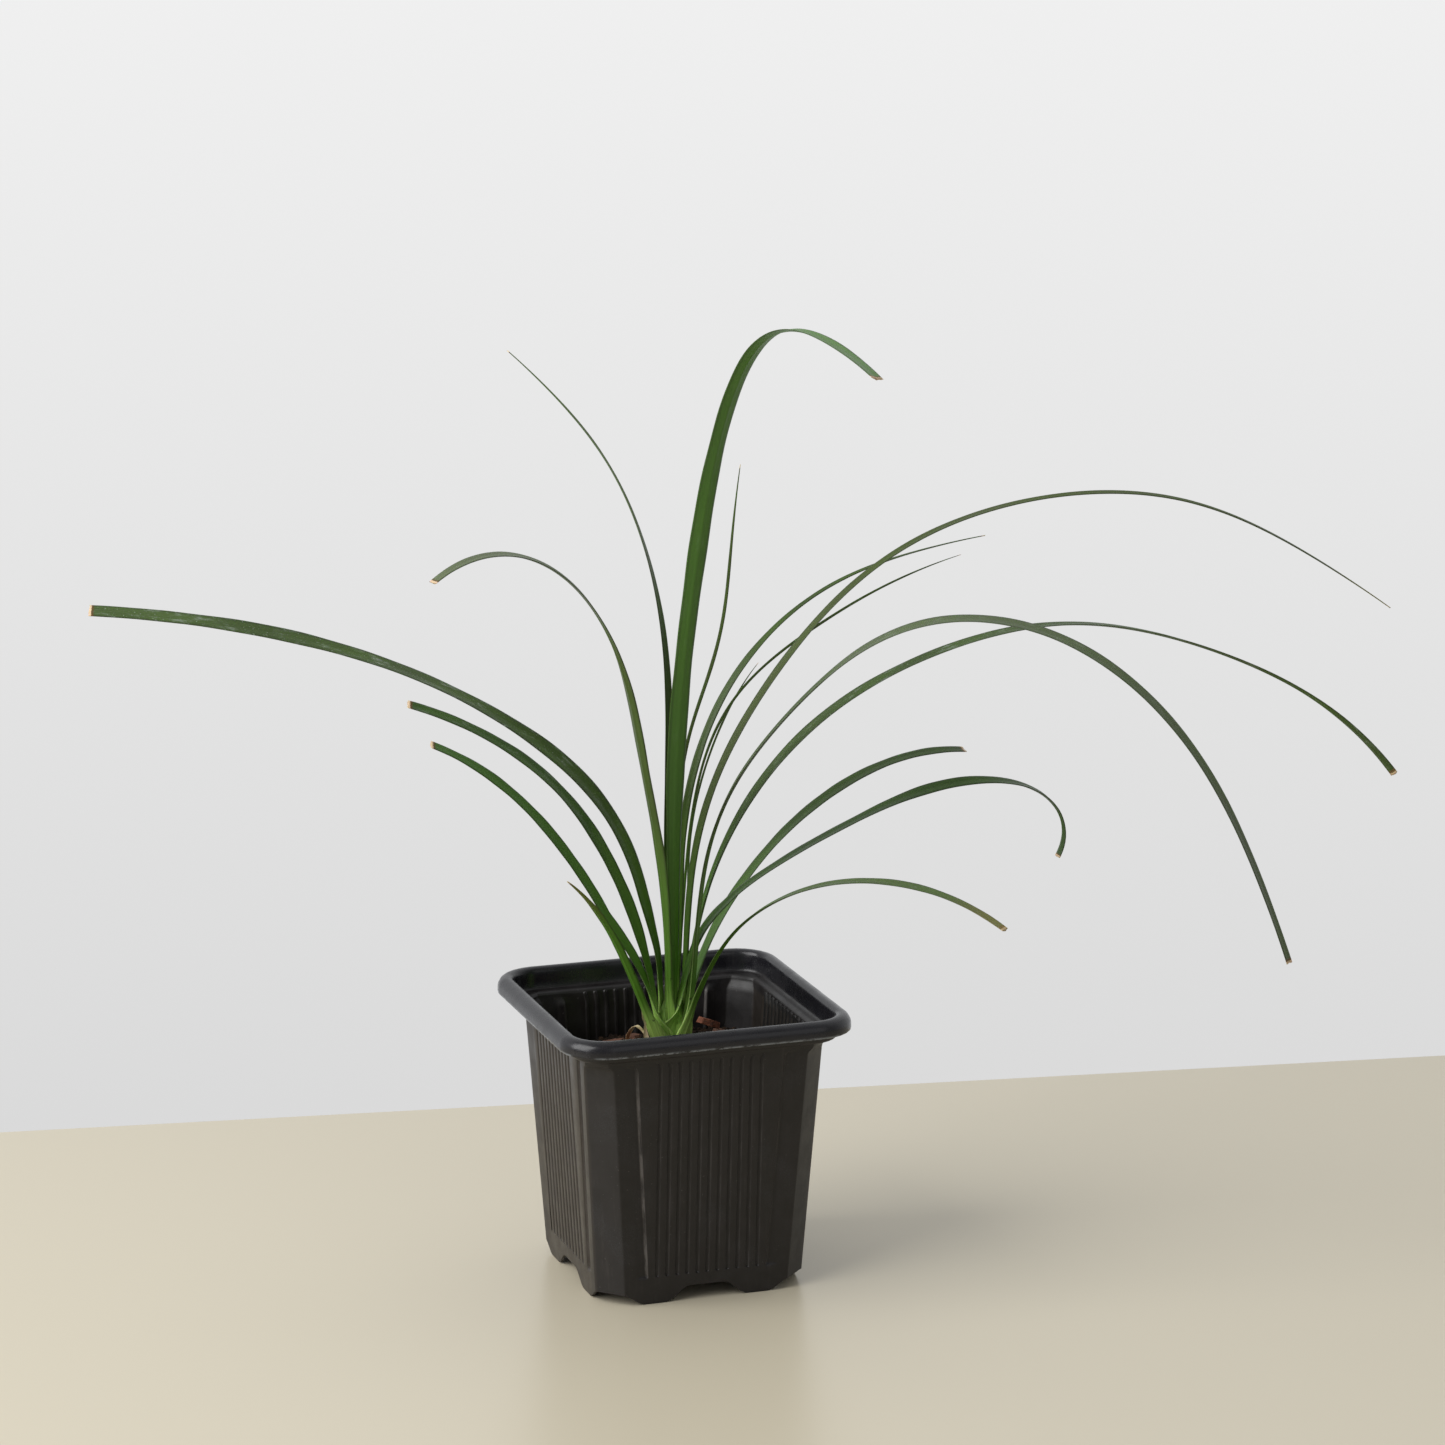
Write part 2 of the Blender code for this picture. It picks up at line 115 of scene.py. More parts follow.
# Each leaf: node, ring, where on the ring it starts, the way it grows, its length, its full
# width, its tip, its lean from upright and its roll at even steps along it, then its looks: how
# olive it is, how dusty, how worn its end is, how much painted light (above 1) or painted
# shade (below 1) falls on its green, and how much painted sheen its upper face has and from
# which share of its length
LEAVES = (
    (
        "leaf_01", "middle", 151, 163, 271, 6.0, "cut",
        (0, 15, 50, 67, 79, 87),
        (20, 44, 38, 18, 44, 45),
        (0.45, 0.9, 0.5, 0.95, 0.15, 0.45),
    ),
    (
        "leaf_02", "middle", 194, 179, 159, 4.8, "cut",
        (6, 17, 32, 54, 71),
        (20, 56, 52, 44, 36),
        (0.1, 0.7, 0.5, 1.1, 0.0, 0.5),
    ),
    (
        "leaf_03", "outer", 171, 191, 144, 4.2, "cut",
        (12, 28, 42, 65),
        (30, 66, 60, 48),
        (0.05, 0.2, 0.5, 1.55, 0.0, 0.5),
    ),
    (
        "leaf_04", "outer", 214, 216, 86, 4.0, "fine",
        (28, 33, 55),
        (0, -6, -20),
        (0.2, 0.1, 0.9, 1.5, 0.0, 0.5),
    ),
    (
        "leaf_05", "middle", 243, 206, 237, 4.8, "cut",
        (1, 4, 13, 15, 38, 73, 118),
        (0, 0, 0, 8, 28, 16, 2),
        (0.75, 0.2, 0.4, 0.95, 0.7, 0.74),
    ),
    (
        "leaf_06", "inner", 121, 106, 269, 3.0, "fine",
        (0, 0, 0, 27, 60, 71),
        (0, 0, 0, -15, -48, -56, -56),
        (0.4, 0.1, 0.4, 0.8, 0.1, 0.5),
    ),
    (
        "leaf_07", "inner", 271, 279, 334, 6.6, "cut",
        (1, 0, 6, 14, 20, 40, 89, 109),
        (0, 0, 0, 0, 0, 0, 4, 12),
        (0.0, 0.1, 0.4, 1.7, 0.15, 0.78),
    ),
    (
        "leaf_08", "inner", 31, 1, 195, 1.2, "fine",
        (2, 0, 3, 20, 6, 8),
        (-60, -60, -60),
        (0.7, 0.0, 0.3, 0.7, 0.0, 0.5),
    ),
    (
        "leaf_09", "middle", 47, 13, 237, 2.8, "fine",
        (4, 0, 19, 50, 77, 87),
        (-60, -50, -35, -20, -10, -5),
        (0.5, 0.0, 0.5, 0.95, 0.0, 0.5),
    ),
    (
        "leaf_10", "middle", 112, 17, 223, 0.9, "fine",
        (18, 5, 17, 58, 71, 82),
        (-60, -60, -60),
        (0.6, 0.0, 0.3, 0.7, 0.0, 0.5),
    ),
    (
        "leaf_11", "middle", 85, 41, 140, 0.85, "fine",
        (38, 0, 35, 66),
        (-60, -60, -60),
        (0.6, 0.0, 0.3, 0.7, 0.0, 0.5),
    ),
    (
        "leaf_12", "middle", 6, 349, 370, 3.4, "fine",
        (0, 6, 28, 44, 70, 92, 117, 126),
        (-40, -35, -20, -15, -15),
        (0.9, 0.0, 0.9, 0.6, 0.1, 0.5),
    ),
    (
        "leaf_13", "outer", 297, 315, 365, 4.8, "cut",
        (7, 7, 35, 52, 89, 124, 150, 160),
        (-8, -24, -14, -12),
        (0.5, 0.3, 0.5, 0.55, 0.35, 0.35),
    ),
    (
        "leaf_14", "middle", 324, 333, 335, 4.2, "cut",
        (0, 15, 35, 57, 75, 100, 117, 143),
        (-8, -34, -26, 10, 60),
        (0.4, 0.6, 0.6, 0.75, 0.1, 0.45),
    ),
    (
        "leaf_15", "outer", 36, 16, 161, 4.8, "cut",
        (5, 34, 55, 76, 100),
        (0, 0, -4, -14, -28),
        (0.25, 0.0, 0.5, 0.6, 0.0, 0.45),
    ),
    (
        "leaf_16", "outer", 349, 355, 196, 4.9, "cut",
        (2, 10, 52, 63, 68, 85, 120, 212),
        (-10, -18, -6, 0, -14, -32, -8, 16),
        (0.1, 0.0, 0.2, 0.65, 0.1, 0.72),
    ),
    (
        "leaf_17", "outer", 259, 299, 176, 3.4, "cut",
        (24, 32, 57, 75, 92, 113),
        (0, -6, -18, -26, -22, -12),
        (0.5, 0.2, 0.85, 0.85, 0.1, 0.5),
    ),
)
# How far a blade's base reaches down inside the clasp, and the width under which a blade is a
# mere thread, in millimetres
CLASP = 7.0
THREAD = 1.5
THREAD_COLUMNS = 12
# How many sheaths overlap round the crown, and the share of a blade over which it widens
SHEATH_COUNT = 5
BASE_SHARE = 0.3

# Bark chips: node, how far the piece is warped, how red it is, how much larger it is than its
# stand-in, and how far it has slid, in millimetres
CHIP_LOOKS = {
    "bark_chip_01": (0.9, 0.8, 0.70, 6.8, -2.3, 1.4),
    "bark_chip_02": (0.6, 0.3, 0.9, 0, 0, -0.5),
    "bark_chip_03": (0.5, 0.8, 1.0, 0, 0, 0),
    "bark_chip_04": (0.7, 0.5, 1.0, 0, 0, 0),
    "bark_chip_05": (0.6, 0.6, 1.0, 0, 0, 0),
    "bark_chip_06": (0.5, 0.5, 1.0, 0, 0, 0),
    "bark_chip_07": (0.4, 0.2, 0.8, 0, 0, -1.0),
    "bark_chip_08": (0.4, 0.4, 0.9, 0, 0, 0),
    "bark_chip_09": (0.4, 0.1, 0.85, 0, 0, -1.2),
    "bark_chip_10": (0.5, 0.6, 1.0, 0, 0, 0),
    "bark_chip_11": (0.4, 0.8, 1.0, 0, 0, 0),
}

# Camera: where it stands from the pot's axis, its turn and tilt, and its lens
CAMERA_PLACE = Vector((-0.5010, -1.5292, 0.5592))
CAMERA_TURN = -18.74
CAMERA_TILT = 12.99
CAMERA_LENS = 124.57

# Table: its far edge runs through these two points, from the pot's axis
TABLE_EDGE = (Vector((-0.1882, 0.2183, 0)), Vector((0.3586, 0.1358, 0)))


# ---------------------------------------------------------------- settings


class PotSettings(bpy.types.PropertyGroup):
    """The moulded pot."""

    colour: FloatVectorProperty(
        name="Colour",
        description="Colour of the black moulded plastic",
        default=(0.0066, 0.0053, 0.0052),
        subtype="COLOR",
        min=0.0,
        max=1.0,
    )
    groove_depth: FloatProperty(
        name="Groove depth",
        description="How deep the narrow grooves are pressed",
        default=0.5 * MM,
        min=0.0,
        max=0.9 * MM,
        precision=5,
        unit="LENGTH",
        subtype="DISTANCE",
    )
    wall: FloatProperty(
        name="Wall",
        description="Thickness of the pot's wall",
        default=0.9 * MM,
        min=0.5 * MM,
        max=1.5 * MM,
        precision=5,
        unit="LENGTH",
        subtype="DISTANCE",
    )


class SoilSettings(bpy.types.PropertyGroup):
    """The potting soil and what lies on it."""

    colour: FloatVectorProperty(
        name="Colour",
        description="Colour of the moist potting soil",
        default=(0.011, 0.0068, 0.0045),
        subtype="COLOR",
        min=0.0,
        max=1.0,
    )
    crumb_count: IntProperty(
        name="Crumbs",
        description="How many crumbs are scattered on the soil",
        default=1700,
        min=0,
        max=4000,
    )
    crumb_size: FloatProperty(
        name="Crumb size",
        description="Radius of the largest crumbs",
        default=1.5 * MM,
        min=0.5 * MM,
        max=3.0 * MM,
        precision=5,
        unit="LENGTH",
        subtype="DISTANCE",
    )
    bark_colour: FloatVectorProperty(
        name="Bark colour",
        description="Colour of the reddest bark chips",
        default=(0.20, 0.055, 0.022),
        subtype="COLOR",
        min=0.0,
        max=1.0,
    )


class LeafSettings(bpy.types.PropertyGroup):
    """The blades."""

    colour: FloatVectorProperty(
        name="Colour",
        description="Colour of the grown blade's upper face",
        default=(0.026, 0.066, 0.0105),
        subtype="COLOR",
        min=0.0,
        max=1.0,
    )
    base_colour: FloatVectorProperty(
        name="Base colour",
        description="Colour of the young tissue where the blades clasp the crown",
        default=(0.37, 0.58, 0.13),
        subtype="COLOR",
        min=0.0,
        max=1.0,
    )
    step: FloatProperty(
        name="Step",
        description="Distance between the blade's sections",
        default=1.6 * MM,
        min=0.8 * MM,
        max=5.0 * MM,
        precision=5,
        unit="LENGTH",
        subtype="DISTANCE",
    )
    columns: IntProperty(
        name="Columns",
        description="Points round one section of a blade",
        default=28,
        min=12,
        max=48,
    )


class StageSettings(bpy.types.PropertyGroup):
    """The table and the light."""

    table_colour: FloatVectorProperty(
        name="Table colour",
        description="Colour of the table top",
        default=(0.56, 0.505, 0.385),
        subtype="COLOR",
        min=0.0,
        max=1.0,
    )
    key_power: FloatProperty(
        name="Key light",
        description="Power of the large soft light",
        default=40.0,
        min=0.0,
        max=200.0,
        unit="POWER",
    )


# ---------------------------------------------------------------- meshes


def smooth(values, share):
    """A value between evenly spaced values, on a smooth curve through them all."""
    last = len(values) - 1
    place = min(max(share, 0.0), 1.0) * last
    i = min(int(place), last - 1)
    u = place - i
    here = values[i]
    after = values[i + 1]
    before = values[i - 1] if i > 0 else 2 * here - after
    beyond = values[i + 2] if i + 2 <= last else 2 * after - here
    return 0.5 * (
        2 * here
        + (after - before) * u
        + (2 * before - 5 * here + 4 * after - beyond) * u**2
        + (3 * here - before - 3 * after + beyond) * u**3
    )


def ease(low, high, value):
    """0 below low, 1 above high, smooth between them."""
    share = min(max((value - low) / (high - low), 0.0), 1.0)
    return share * share * (3 - 2 * share)


def finish_mesh(name, bm, angle=40):
    """Turn a bmesh into an object at the origin, faces outwards, smooth except at edges."""
    bmesh.ops.recalc_face_normals(bm, faces=bm.faces)
    mesh = bpy.data.meshes.new(name)
    bm.to_mesh(mesh)
    bm.free()
    mesh.shade_smooth()
    mesh.set_sharp_from_angle(angle=math.radians(angle))
    obj = bpy.data.objects.new(name, mesh)
    bpy.context.scene.collection.objects.link(obj)
    return obj


def loft(bm, rings):
    """Skin equal rings of points in order, and close both ends."""
    loops = [[bm.verts.new(point) for point in ring] for ring in rings]
    count = len(loops[0])
    for lower, upper in zip(loops, loops[1:]):
        for i in range(count):
            j = (i + 1) % count
            bm.faces.new((lower[i], lower[j], upper[j], upper[i]))
    bm.faces.new(loops[0][::-1])
    bm.faces.new(loops[-1])
    return loops


def place_piece(obj, slot, *nodes):
    """Make a finished piece part of the plant, in place of its CAD nodes."""
    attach(obj, "root")
    if nodes:
        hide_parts(*nodes)


# ---------------------------------------------------------------- node helpers


def add_node(tree, kind, inputs=None, **settings):
    """A node with its settings made, and each input set to a value or joined to a socket."""
    node = tree.nodes.new(kind)
    for key, value in settings.items():
        setattr(node, key, value)
    for key, value in (inputs or {}).items():
        if isinstance(value, bpy.types.NodeSocket):
            tree.links.new(value, node.inputs[key])
        else:
            node.inputs[key].default_value = value
    return node


def maths(tree, operation, *values):
    """A Math node's result."""
    inputs = dict(enumerate(values))
    return add_node(tree, "ShaderNodeMath", inputs, operation=operation).outputs[0]


def times(tree, first, second):
    """A Math node that multiplies."""
    return maths(tree, "MULTIPLY", first, second)


def plus(tree, first, second):
    """A Math node that adds."""
    return maths(tree, "ADD", first, second)


def minus(tree, first, second):
    """A Math node that subtracts."""
    return maths(tree, "SUBTRACT", first, second)


def vector_maths(tree, operation, inputs):
    """A Vector Math node's result."""
    return add_node(tree, "ShaderNodeVectorMath", inputs, operation=operation).outputs[0]


def span(tree, value, low, high, to_low=0.0, to_high=1.0, kind="SMOOTHSTEP"):
    """A Map Range node's result."""
    inputs = {"Value": value, "From Min": low, "From Max": high}
    inputs |= {"To Min": to_low, "To Max": to_high}
    return add_node(tree, "ShaderNodeMapRange", inputs, interpolation_type=kind).outputs[0]


def mix(tree, share, first, second):
    """A mix of two colours."""
    node = add_node(tree, "ShaderNodeMix", data_type="RGBA")
    for index, value in ((0, share), (6, first), (7, second)):
        if isinstance(value, bpy.types.NodeSocket):
            tree.links.new(value, node.inputs[index])
        elif index == 0:
            node.inputs[index].default_value = value
        else:
            node.inputs[index].default_value = (*value[:3], 1.0)
    return node.outputs[2]


def noise_at(tree, vector, scale, detail=2.0, roughness=0.5):
    """A noise pattern's value."""
    inputs = {"Vector": vector, "Scale": scale, "Detail": detail, "Roughness": roughness}
    return add_node(tree, "ShaderNodeTexNoise", inputs).outputs[0]


def scaled(tree, vector, factors):
    """A vector stretched along each axis."""
    inputs = {"Vector": vector, "Scale": factors}
    return add_node(tree, "ShaderNodeMapping", inputs).outputs[0]


def new_material(name):
    """A Principled material: its tree, its shader and its bump sockets still free."""
    made = bpy.data.materials.new(name)
    made.use_nodes = True
    tree = made.node_tree
    shader = tree.nodes["Principled BSDF"]
    return made, tree, shader


def bump(tree, shader, height, strength, distance):
    """Bump from a height pattern."""
    inputs = {"Height": height, "Strength": strength, "Distance": distance}
    node = add_node(tree, "ShaderNodeBump", inputs)
    tree.links.new(node.outputs[0], shader.inputs["Normal"])


# ---------------------------------------------------------------- materials


def pot_material(settings):
    """Moulded black plastic: satin, faintly mottled, dusty, scuffed at the lip. Painted shade
    fills the grooves; painted highlights and sheen lighten the groove walls, the troughs' edges,
    the side panels and the bluish rim.
    """
    made, tree, shader = new_material("black_nursery_plastic")
    coords = add_node(tree, "ShaderNodeTexCoord").outputs["Object"]
    local = add_node(
        tree,
        "ShaderNodeMapping",
        {"Vector": coords, "Location": (-AXIS.x, -AXIS.y, 0.0)},
    ).outputs[0]
    parts = add_node(tree, "ShaderNodeSeparateXYZ", {"Vector": local}).outputs
    height = parts[2]
    out_x = maths(tree, "ABSOLUTE", parts[0])
    out_y = maths(tree, "ABSOLUTE", parts[1])
    flank = span(tree, minus(tree, out_x, out_y), -0.004, 0.004)
    groove = add_node(tree, "ShaderNodeAttribute", attribute_name="groove").outputs["Fac"]
    trough = add_node(tree, "ShaderNodeAttribute", attribute_name="trough").outputs["Fac"]
    mottle = noise_at(tree, local, 140.0, 4.0, 0.6)
    fine = noise_at(tree, local, 1400.0, 3.0, 0.6)
    streak = noise_at(tree, scaled(tree, local, (420.0, 420.0, 16.0)), 1.0, 4.0, 0.65)
    broken = noise_at(tree, scaled(tree, local, (300.0, 300.0, 90.0)), 1.0, 4.0, 0.65)
    dusty = times(tree, span(tree, streak, 0.52, 0.76), span(tree, mottle, 0.35, 0.7))
    specks = span(tree, noise_at(tree, local, 1100.0, 1.0, 0.4), 0.735, 0.80)
    base = tuple(settings.colour)
    lighter = tuple(1.7 * c + 0.002 for c in base)
    colour = mix(tree, span(tree, mottle, 0.3, 0.75), base, lighter)
    # Painted sheen: the ribbed panels on the left and right sides are lightened towards pale brown
    flat = span(tree, minus(tree, out_x, out_y), 0.0060, 0.0075)
    ribbed = span(tree, maths(tree, "MINIMUM", out_x, out_y), 0.0250, 0.0235, 0.45, 1.0)
    ribbed = times(tree, ribbed, span(tree, height, 0.0845, 0.0835))
    ribbed = times(tree, ribbed, flat)
    colour = mix(tree, times(tree, ribbed, 0.8), colour, (0.034, 0.027, 0.020))
    # Painted shade: the grooves are darkened nearly to black, fully on the left and right sides and
    # a tenth as much on the front and back
    groove_shade = times(tree, groove, plus(tree, 0.1, times(tree, flank, 0.9)))
    colour = mix(tree, groove_shade, colour, tuple(0.1 * c for c in base))
    colour = mix(tree, times(tree, dusty, 0.16), colour, (0.12, 0.105, 0.095))
    # Painted highlight: a broken pale streak along the walls of every groove
    groove_wall_highlight = times(tree, groove, minus(tree, 1.0, groove))
    groove_wall_highlight = times(tree, groove_wall_highlight, span(tree, broken, 0.40, 0.68, 0.1, 1.0))
    colour = mix(tree, times(tree, groove_wall_highlight, 1.0), colour, (0.10, 0.092, 0.088))
    # Painted highlight: a broken pale streak on the trough's edge, from the "trough" attribute
    trough_highlight = times(tree, trough, span(tree, broken, 0.36, 0.62, 0.15, 1.0))
    colour = mix(tree, times(tree, trough_highlight, 0.55), colour, (0.17, 0.155, 0.145))
    colour = mix(tree, times(tree, specks, 0.2), colour, (0.16, 0.15, 0.145))
    haze = span(tree, noise_at(tree, local, 55.0, 2.0, 0.5), 0.52, 0.68)
    dots = noise_at(tree, local, 2600.0, 2.0, 0.7)
    haze = times(tree, haze, span(tree, dots, 0.40, 0.65))
    colour = mix(tree, times(tree, haze, 0.12), colour, (0.07, 0.075, 0.09))
    above = span(tree, height, 0.0888, 0.0893)
    lip = times(tree, above, span(tree, height, 0.0906, 0.0897))
    scuffs = noise_at(tree, scaled(tree, local, (1.0, 1.0, 2.5)), 330.0, 4.0, 0.7)
    scuffs = span(tree, scuffs, 0.38, 0.56)
    outside = span(tree, maths(tree, "MAXIMUM", out_x, out_y), 0.0478, 0.0486)
    worn = times(tree, times(tree, lip, scuffs), outside)
    colour = mix(tree, times(tree, worn, 0.85), colour, (0.44, 0.48, 0.52))
    # Bluish rim tint, partly the plastic's own colour and partly a painted sheen that lightens the
    # rim
    rim = span(tree, height, 0.0872, 0.0892)
    colour = mix(tree, times(tree, rim, 0.5), colour, (0.010, 0.011, 0.016))
    tree.links.new(colour, shader.inputs["Base Color"])
    rough = span(tree, mottle, 0.3, 0.7, 0.38, 0.50)
    rough = plus(tree, rough, times(tree, dusty, 0.15))
    rough = minus(tree, rough, times(tree, rim, 0.17))
    rough = plus(tree, rough, times(tree, groove_shade, 0.4))
    tree.links.new(rough, shader.inputs["Roughness"])
    shader.inputs["Specular IOR Level"].default_value = 0.42
    bump(tree, shader, plus(tree, times(tree, mottle, 0.6), fine), 0.12, 0.0002)
    return made


def blade_material(settings):
    """A living blade: pale clasping base, green above, veins, thin margins, dust, and dead ends,
    with painted light and shade on each blade, painted shade along its edges and painted sheen.
    """
    made, tree, shader = new_material("palm_blade")

    def attribute(name):
        return add_node(tree, "ShaderNodeAttribute", attribute_name=name).outputs["Fac"]

    across = attribute("across")
    face = attribute("face")
    from_base = attribute("from_base")
    to_tip = attribute("to_tip")
    width = attribute("width")
    olive = attribute("olive")
    dust = attribute("dust")
    dead = attribute("dead")
    painted_lighting = attribute("painted_lighting")
    sheen_share = attribute("sheen_share")
    coords = add_node(tree, "ShaderNodeTexCoord").outputs["Object"]
    blade = add_node(
        tree,
        "ShaderNodeCombineXYZ",
        {"X": times(tree, across, width), "Y": from_base, "Z": face},
    ).outputs[0]
    grown = tuple(settings.colour)
    young = tuple(settings.base_colour)
    cloud = noise_at(tree, scaled(tree, blade, (160.0, 26.0, 0.0)), 1.0, 3.0, 0.5)
    veins = noise_at(tree, scaled(tree, blade, (4200.0, 12.0, 0.0)), 1.0, 2.0, 0.6)
    fine = noise_at(tree, scaled(tree, blade, (9000.0, 60.0, 0.0)), 1.0, 2.0, 0.6)
    bright = tuple(c * k for c, k in zip(grown, (2.3, 2.0, 1.7)))
    dark = tuple(c * 0.5 for c in grown)
    colour = mix(tree, span(tree, cloud, 0.32, 0.70), grown, bright)
    colour = mix(tree, times(tree, span(tree, veins, 0.42, 0.60), 0.5), colour, dark)
    # Painted light and shade per blade: above 1 the green is lightened towards bright yellow green,
    # below 1 it is darkened with painted shade
    colour = mix(tree, minus(tree, painted_lighting, 1.0), colour, (0.082, 0.215, 0.028))
    colour = mix(tree, minus(tree, 1.0, painted_lighting), colour, tuple(0.3 * c for c in grown))
    # Painted sheen: the upper face of the blade's outer part is turned pale grey green
    painted_sheen = times(tree, sheen_share, span(tree, veins, 0.25, 0.7, 1.0, 0.65))
    painted_sheen = times(tree, painted_sheen, span(tree, face, -0.05, 0.05))
    colour = mix(tree, painted_sheen, colour, (0.21, 0.25, 0.165))
    under = span(tree, face, 0.05, -0.05)
    colour = mix(tree, times(tree, under, 0.20), colour, (0.060, 0.110, 0.030))
    colour = mix(tree, times(tree, olive, 0.5), colour, (0.075, 0.088, 0.016))
    youth = span(tree, from_base, 0.095, 0.016)
    colour = mix(tree, times(tree, youth, 0.74), colour, (0.090, 0.23, 0.018))
    base = span(tree, from_base, 0.024, 0.007)
    pale = mix(tree, span(tree, veins, 0.38, 0.62), young, tuple(0.62 * c for c in young))
    colour = mix(tree, times(tree, base, 0.95), colour, pale)
    side_share = maths(tree, "ABSOLUTE", across)
    # Painted shade: the blade darkens towards both edges of its width, above the clasp
    rim = span(tree, side_share, 0.58, 0.93)
    rim = times(tree, rim, span(tree, from_base, 0.012, 0.03))
    colour = mix(tree, times(tree, rim, 0.55), colour, (0.017, 0.026, 0.009))
    margin = span(tree, side_share, 0.955, 0.99)
    past_clasp = span(tree, from_base, 0.015, 0.04)
    pale_margin = mix(tree, past_clasp, (0.46, 0.52, 0.24), (0.060, 0.062, 0.020))
    colour = mix(tree, times(tree, margin, 0.7), colour, pale_margin)
    grime = noise_at(tree, scaled(tree, coords, (1.0, 1.0, 0.7)), 520.0, 3.0, 0.7)
    grime = times(tree, span(tree, grime, 0.655, 0.70), span(tree, from_base, 0.045, 0.030))
    grime = times(tree, grime, span(tree, from_base, 0.008, 0.012))
    colour = mix(tree, times(tree, grime, 0.85), colour, (0.018, 0.010, 0.006))
    chalk = noise_at(tree, scaled(tree, blade, (420.0, 90.0, 0.0)), 1.0, 5.0, 0.75)
    flecks = noise_at(tree, coords, 1500.0, 2.0, 0.6)
    film = times(tree, span(tree, chalk, 0.52, 0.72), 0.5)
    film = plus(tree, film, times(tree, span(tree, flecks, 0.66, 0.74), 0.7))
    film = times(tree, film, dust)
    film = times(tree, film, span(tree, from_base, 0.05, 0.14))
    colour = mix(tree, film, colour, (0.38, 0.43, 0.39))
    scar = plus(tree, 0.0006, times(tree, dead, 0.0010))
    edge = noise_at(tree, scaled(tree, blade, (900.0, 0.0, 0.0)), 1.0)
    edge = times(tree, edge, 0.0010)
    reach = minus(tree, to_tip, edge)
    brown = span(tree, reach, times(tree, scar, 1.8), times(tree, scar, 1.2))
    colour = mix(tree, times(tree, brown, 0.8), colour, (0.12, 0.060, 0.018))
    tan = span(tree, reach, times(tree, scar, 0.9), times(tree, scar, 0.5))
    colour = mix(tree, tan, colour, (0.60, 0.45, 0.29))
    yellowed = times(tree, span(tree, to_tip, 0.030, 0.002), span(tree, dead, 0.6, 1.0))
    colour = mix(tree, times(tree, yellowed, 0.55), colour, (0.26, 0.20, 0.06))
    tree.links.new(colour, shader.inputs["Base Color"])
    rough = span(tree, cloud, 0.3, 0.7, 0.40, 0.54)
    rough = plus(tree, rough, times(tree, film, 0.25))
    tree.links.new(rough, shader.inputs["Roughness"])
    shader.inputs["Specular IOR Level"].default_value = 0.28
    shader.inputs["Subsurface Weight"].default_value = 0.12
    shader.inputs["Subsurface Radius"].default_value = (0.25, 0.6, 0.1)
    shader.inputs["Subsurface Scale"].default_value = 0.0012
    ridges = plus(tree, veins, times(tree, fine, 0.4))
    bump(tree, shader, ridges, 0.35, 0.00012)
    return made


def crown_material(settings):
    """The crown: yellow-green above, browner and fibrous where it meets the soil."""
    made, tree, shader = new_material("palm_crown")
    coords = add_node(tree, "ShaderNodeTexCoord").outputs["Object"]
    height = add_node(tree, "ShaderNodeSeparateXYZ", {"Vector": coords}).outputs[2]
    fibre = noise_at(tree, scaled(tree, coords, (900.0, 900.0, 90.0)), 1.0, 4.0, 0.6)
    young = tuple(settings.base_colour)
    colour = mix(tree, span(tree, height, 0.0740, 0.0800), (0.22, 0.15, 0.07), young)
    colour = mix(tree, times(tree, span(tree, fibre, 0.42, 0.66), 0.5), colour, (0.11, 0.22, 0.03))
    colour = mix(tree, span(tree, height, 0.088, 0.095), colour, (0.045, 0.12, 0.012))
    tree.links.new(colour, shader.inputs["Base Color"])
    shader.inputs["Roughness"].default_value = 0.55
    shader.inputs["Subsurface Weight"].default_value = 0.1
    shader.inputs["Subsurface Scale"].default_value = 0.002
    bump(tree, shader, fibre, 0.5, 0.0003)
    return made


def soil_material(settings, name, brightness):
    """Moist potting soil: dark peat with browner and greyer specks."""
    made, tree, shader = new_material(name)
    coords = add_node(tree, "ShaderNodeTexCoord").outputs["Object"]
    coarse = noise_at(tree, coords, 320.0, 5.0, 0.7)
    fine = noise_at(tree, coords, 2400.0, 3.0, 0.6)
    base = tuple(c * brightness for c in settings.colour)
    brown = tuple(c * k * brightness for c, k in zip(settings.colour, (3.2, 2.9, 2.4)))
    colour = mix(tree, span(tree, coarse, 0.42, 0.68), base, brown)
    colour = mix(tree, times(tree, span(tree, fine, 0.60, 0.74), 0.5), colour, (0.10, 0.07, 0.045))
    tree.links.new(colour, shader.inputs["Base Color"])
    shader.inputs["Roughness"].default_value = 0.9
    shader.inputs["Specular IOR Level"].default_value = 0.15
    bump(tree, shader, plus(tree, coarse, times(tree, fine, 0.5)), 0.8, 0.0006)
    return made


def bark_material(settings):
    """Red-brown bark: layered, with darker plates and pale torn fibres."""
    made, tree, shader = new_material("bark_chip")
    coords = add_node(tree, "ShaderNodeTexCoord").outputs["Object"]
    red = add_node(tree, "ShaderNodeAttribute", attribute_name="red").outputs["Fac"]
    grain = noise_at(tree, scaled(tree, coords, (300.0, 900.0, 1500.0)), 1.0, 4.0, 0.65)
    plates = noise_at(tree, coords, 420.0, 3.0, 0.6)
    bark = tuple(settings.bark_colour)
    dull = (0.075, 0.036, 0.020)
    colour = mix(tree, red, dull, bark)
    colour = mix(tree, span(tree, plates, 0.5, 0.7), colour, (0.045, 0.020, 0.012))
    colour = mix(tree, times(tree, span(tree, grain, 0.52, 0.74), 0.55), colour, (0.36, 0.15, 0.07))
    tree.links.new(colour, shader.inputs["Base Color"])
    shader.inputs["Roughness"].default_value = 0.8
    bump(tree, shader, plus(tree, grain, plates), 0.7, 0.0005)
    return made


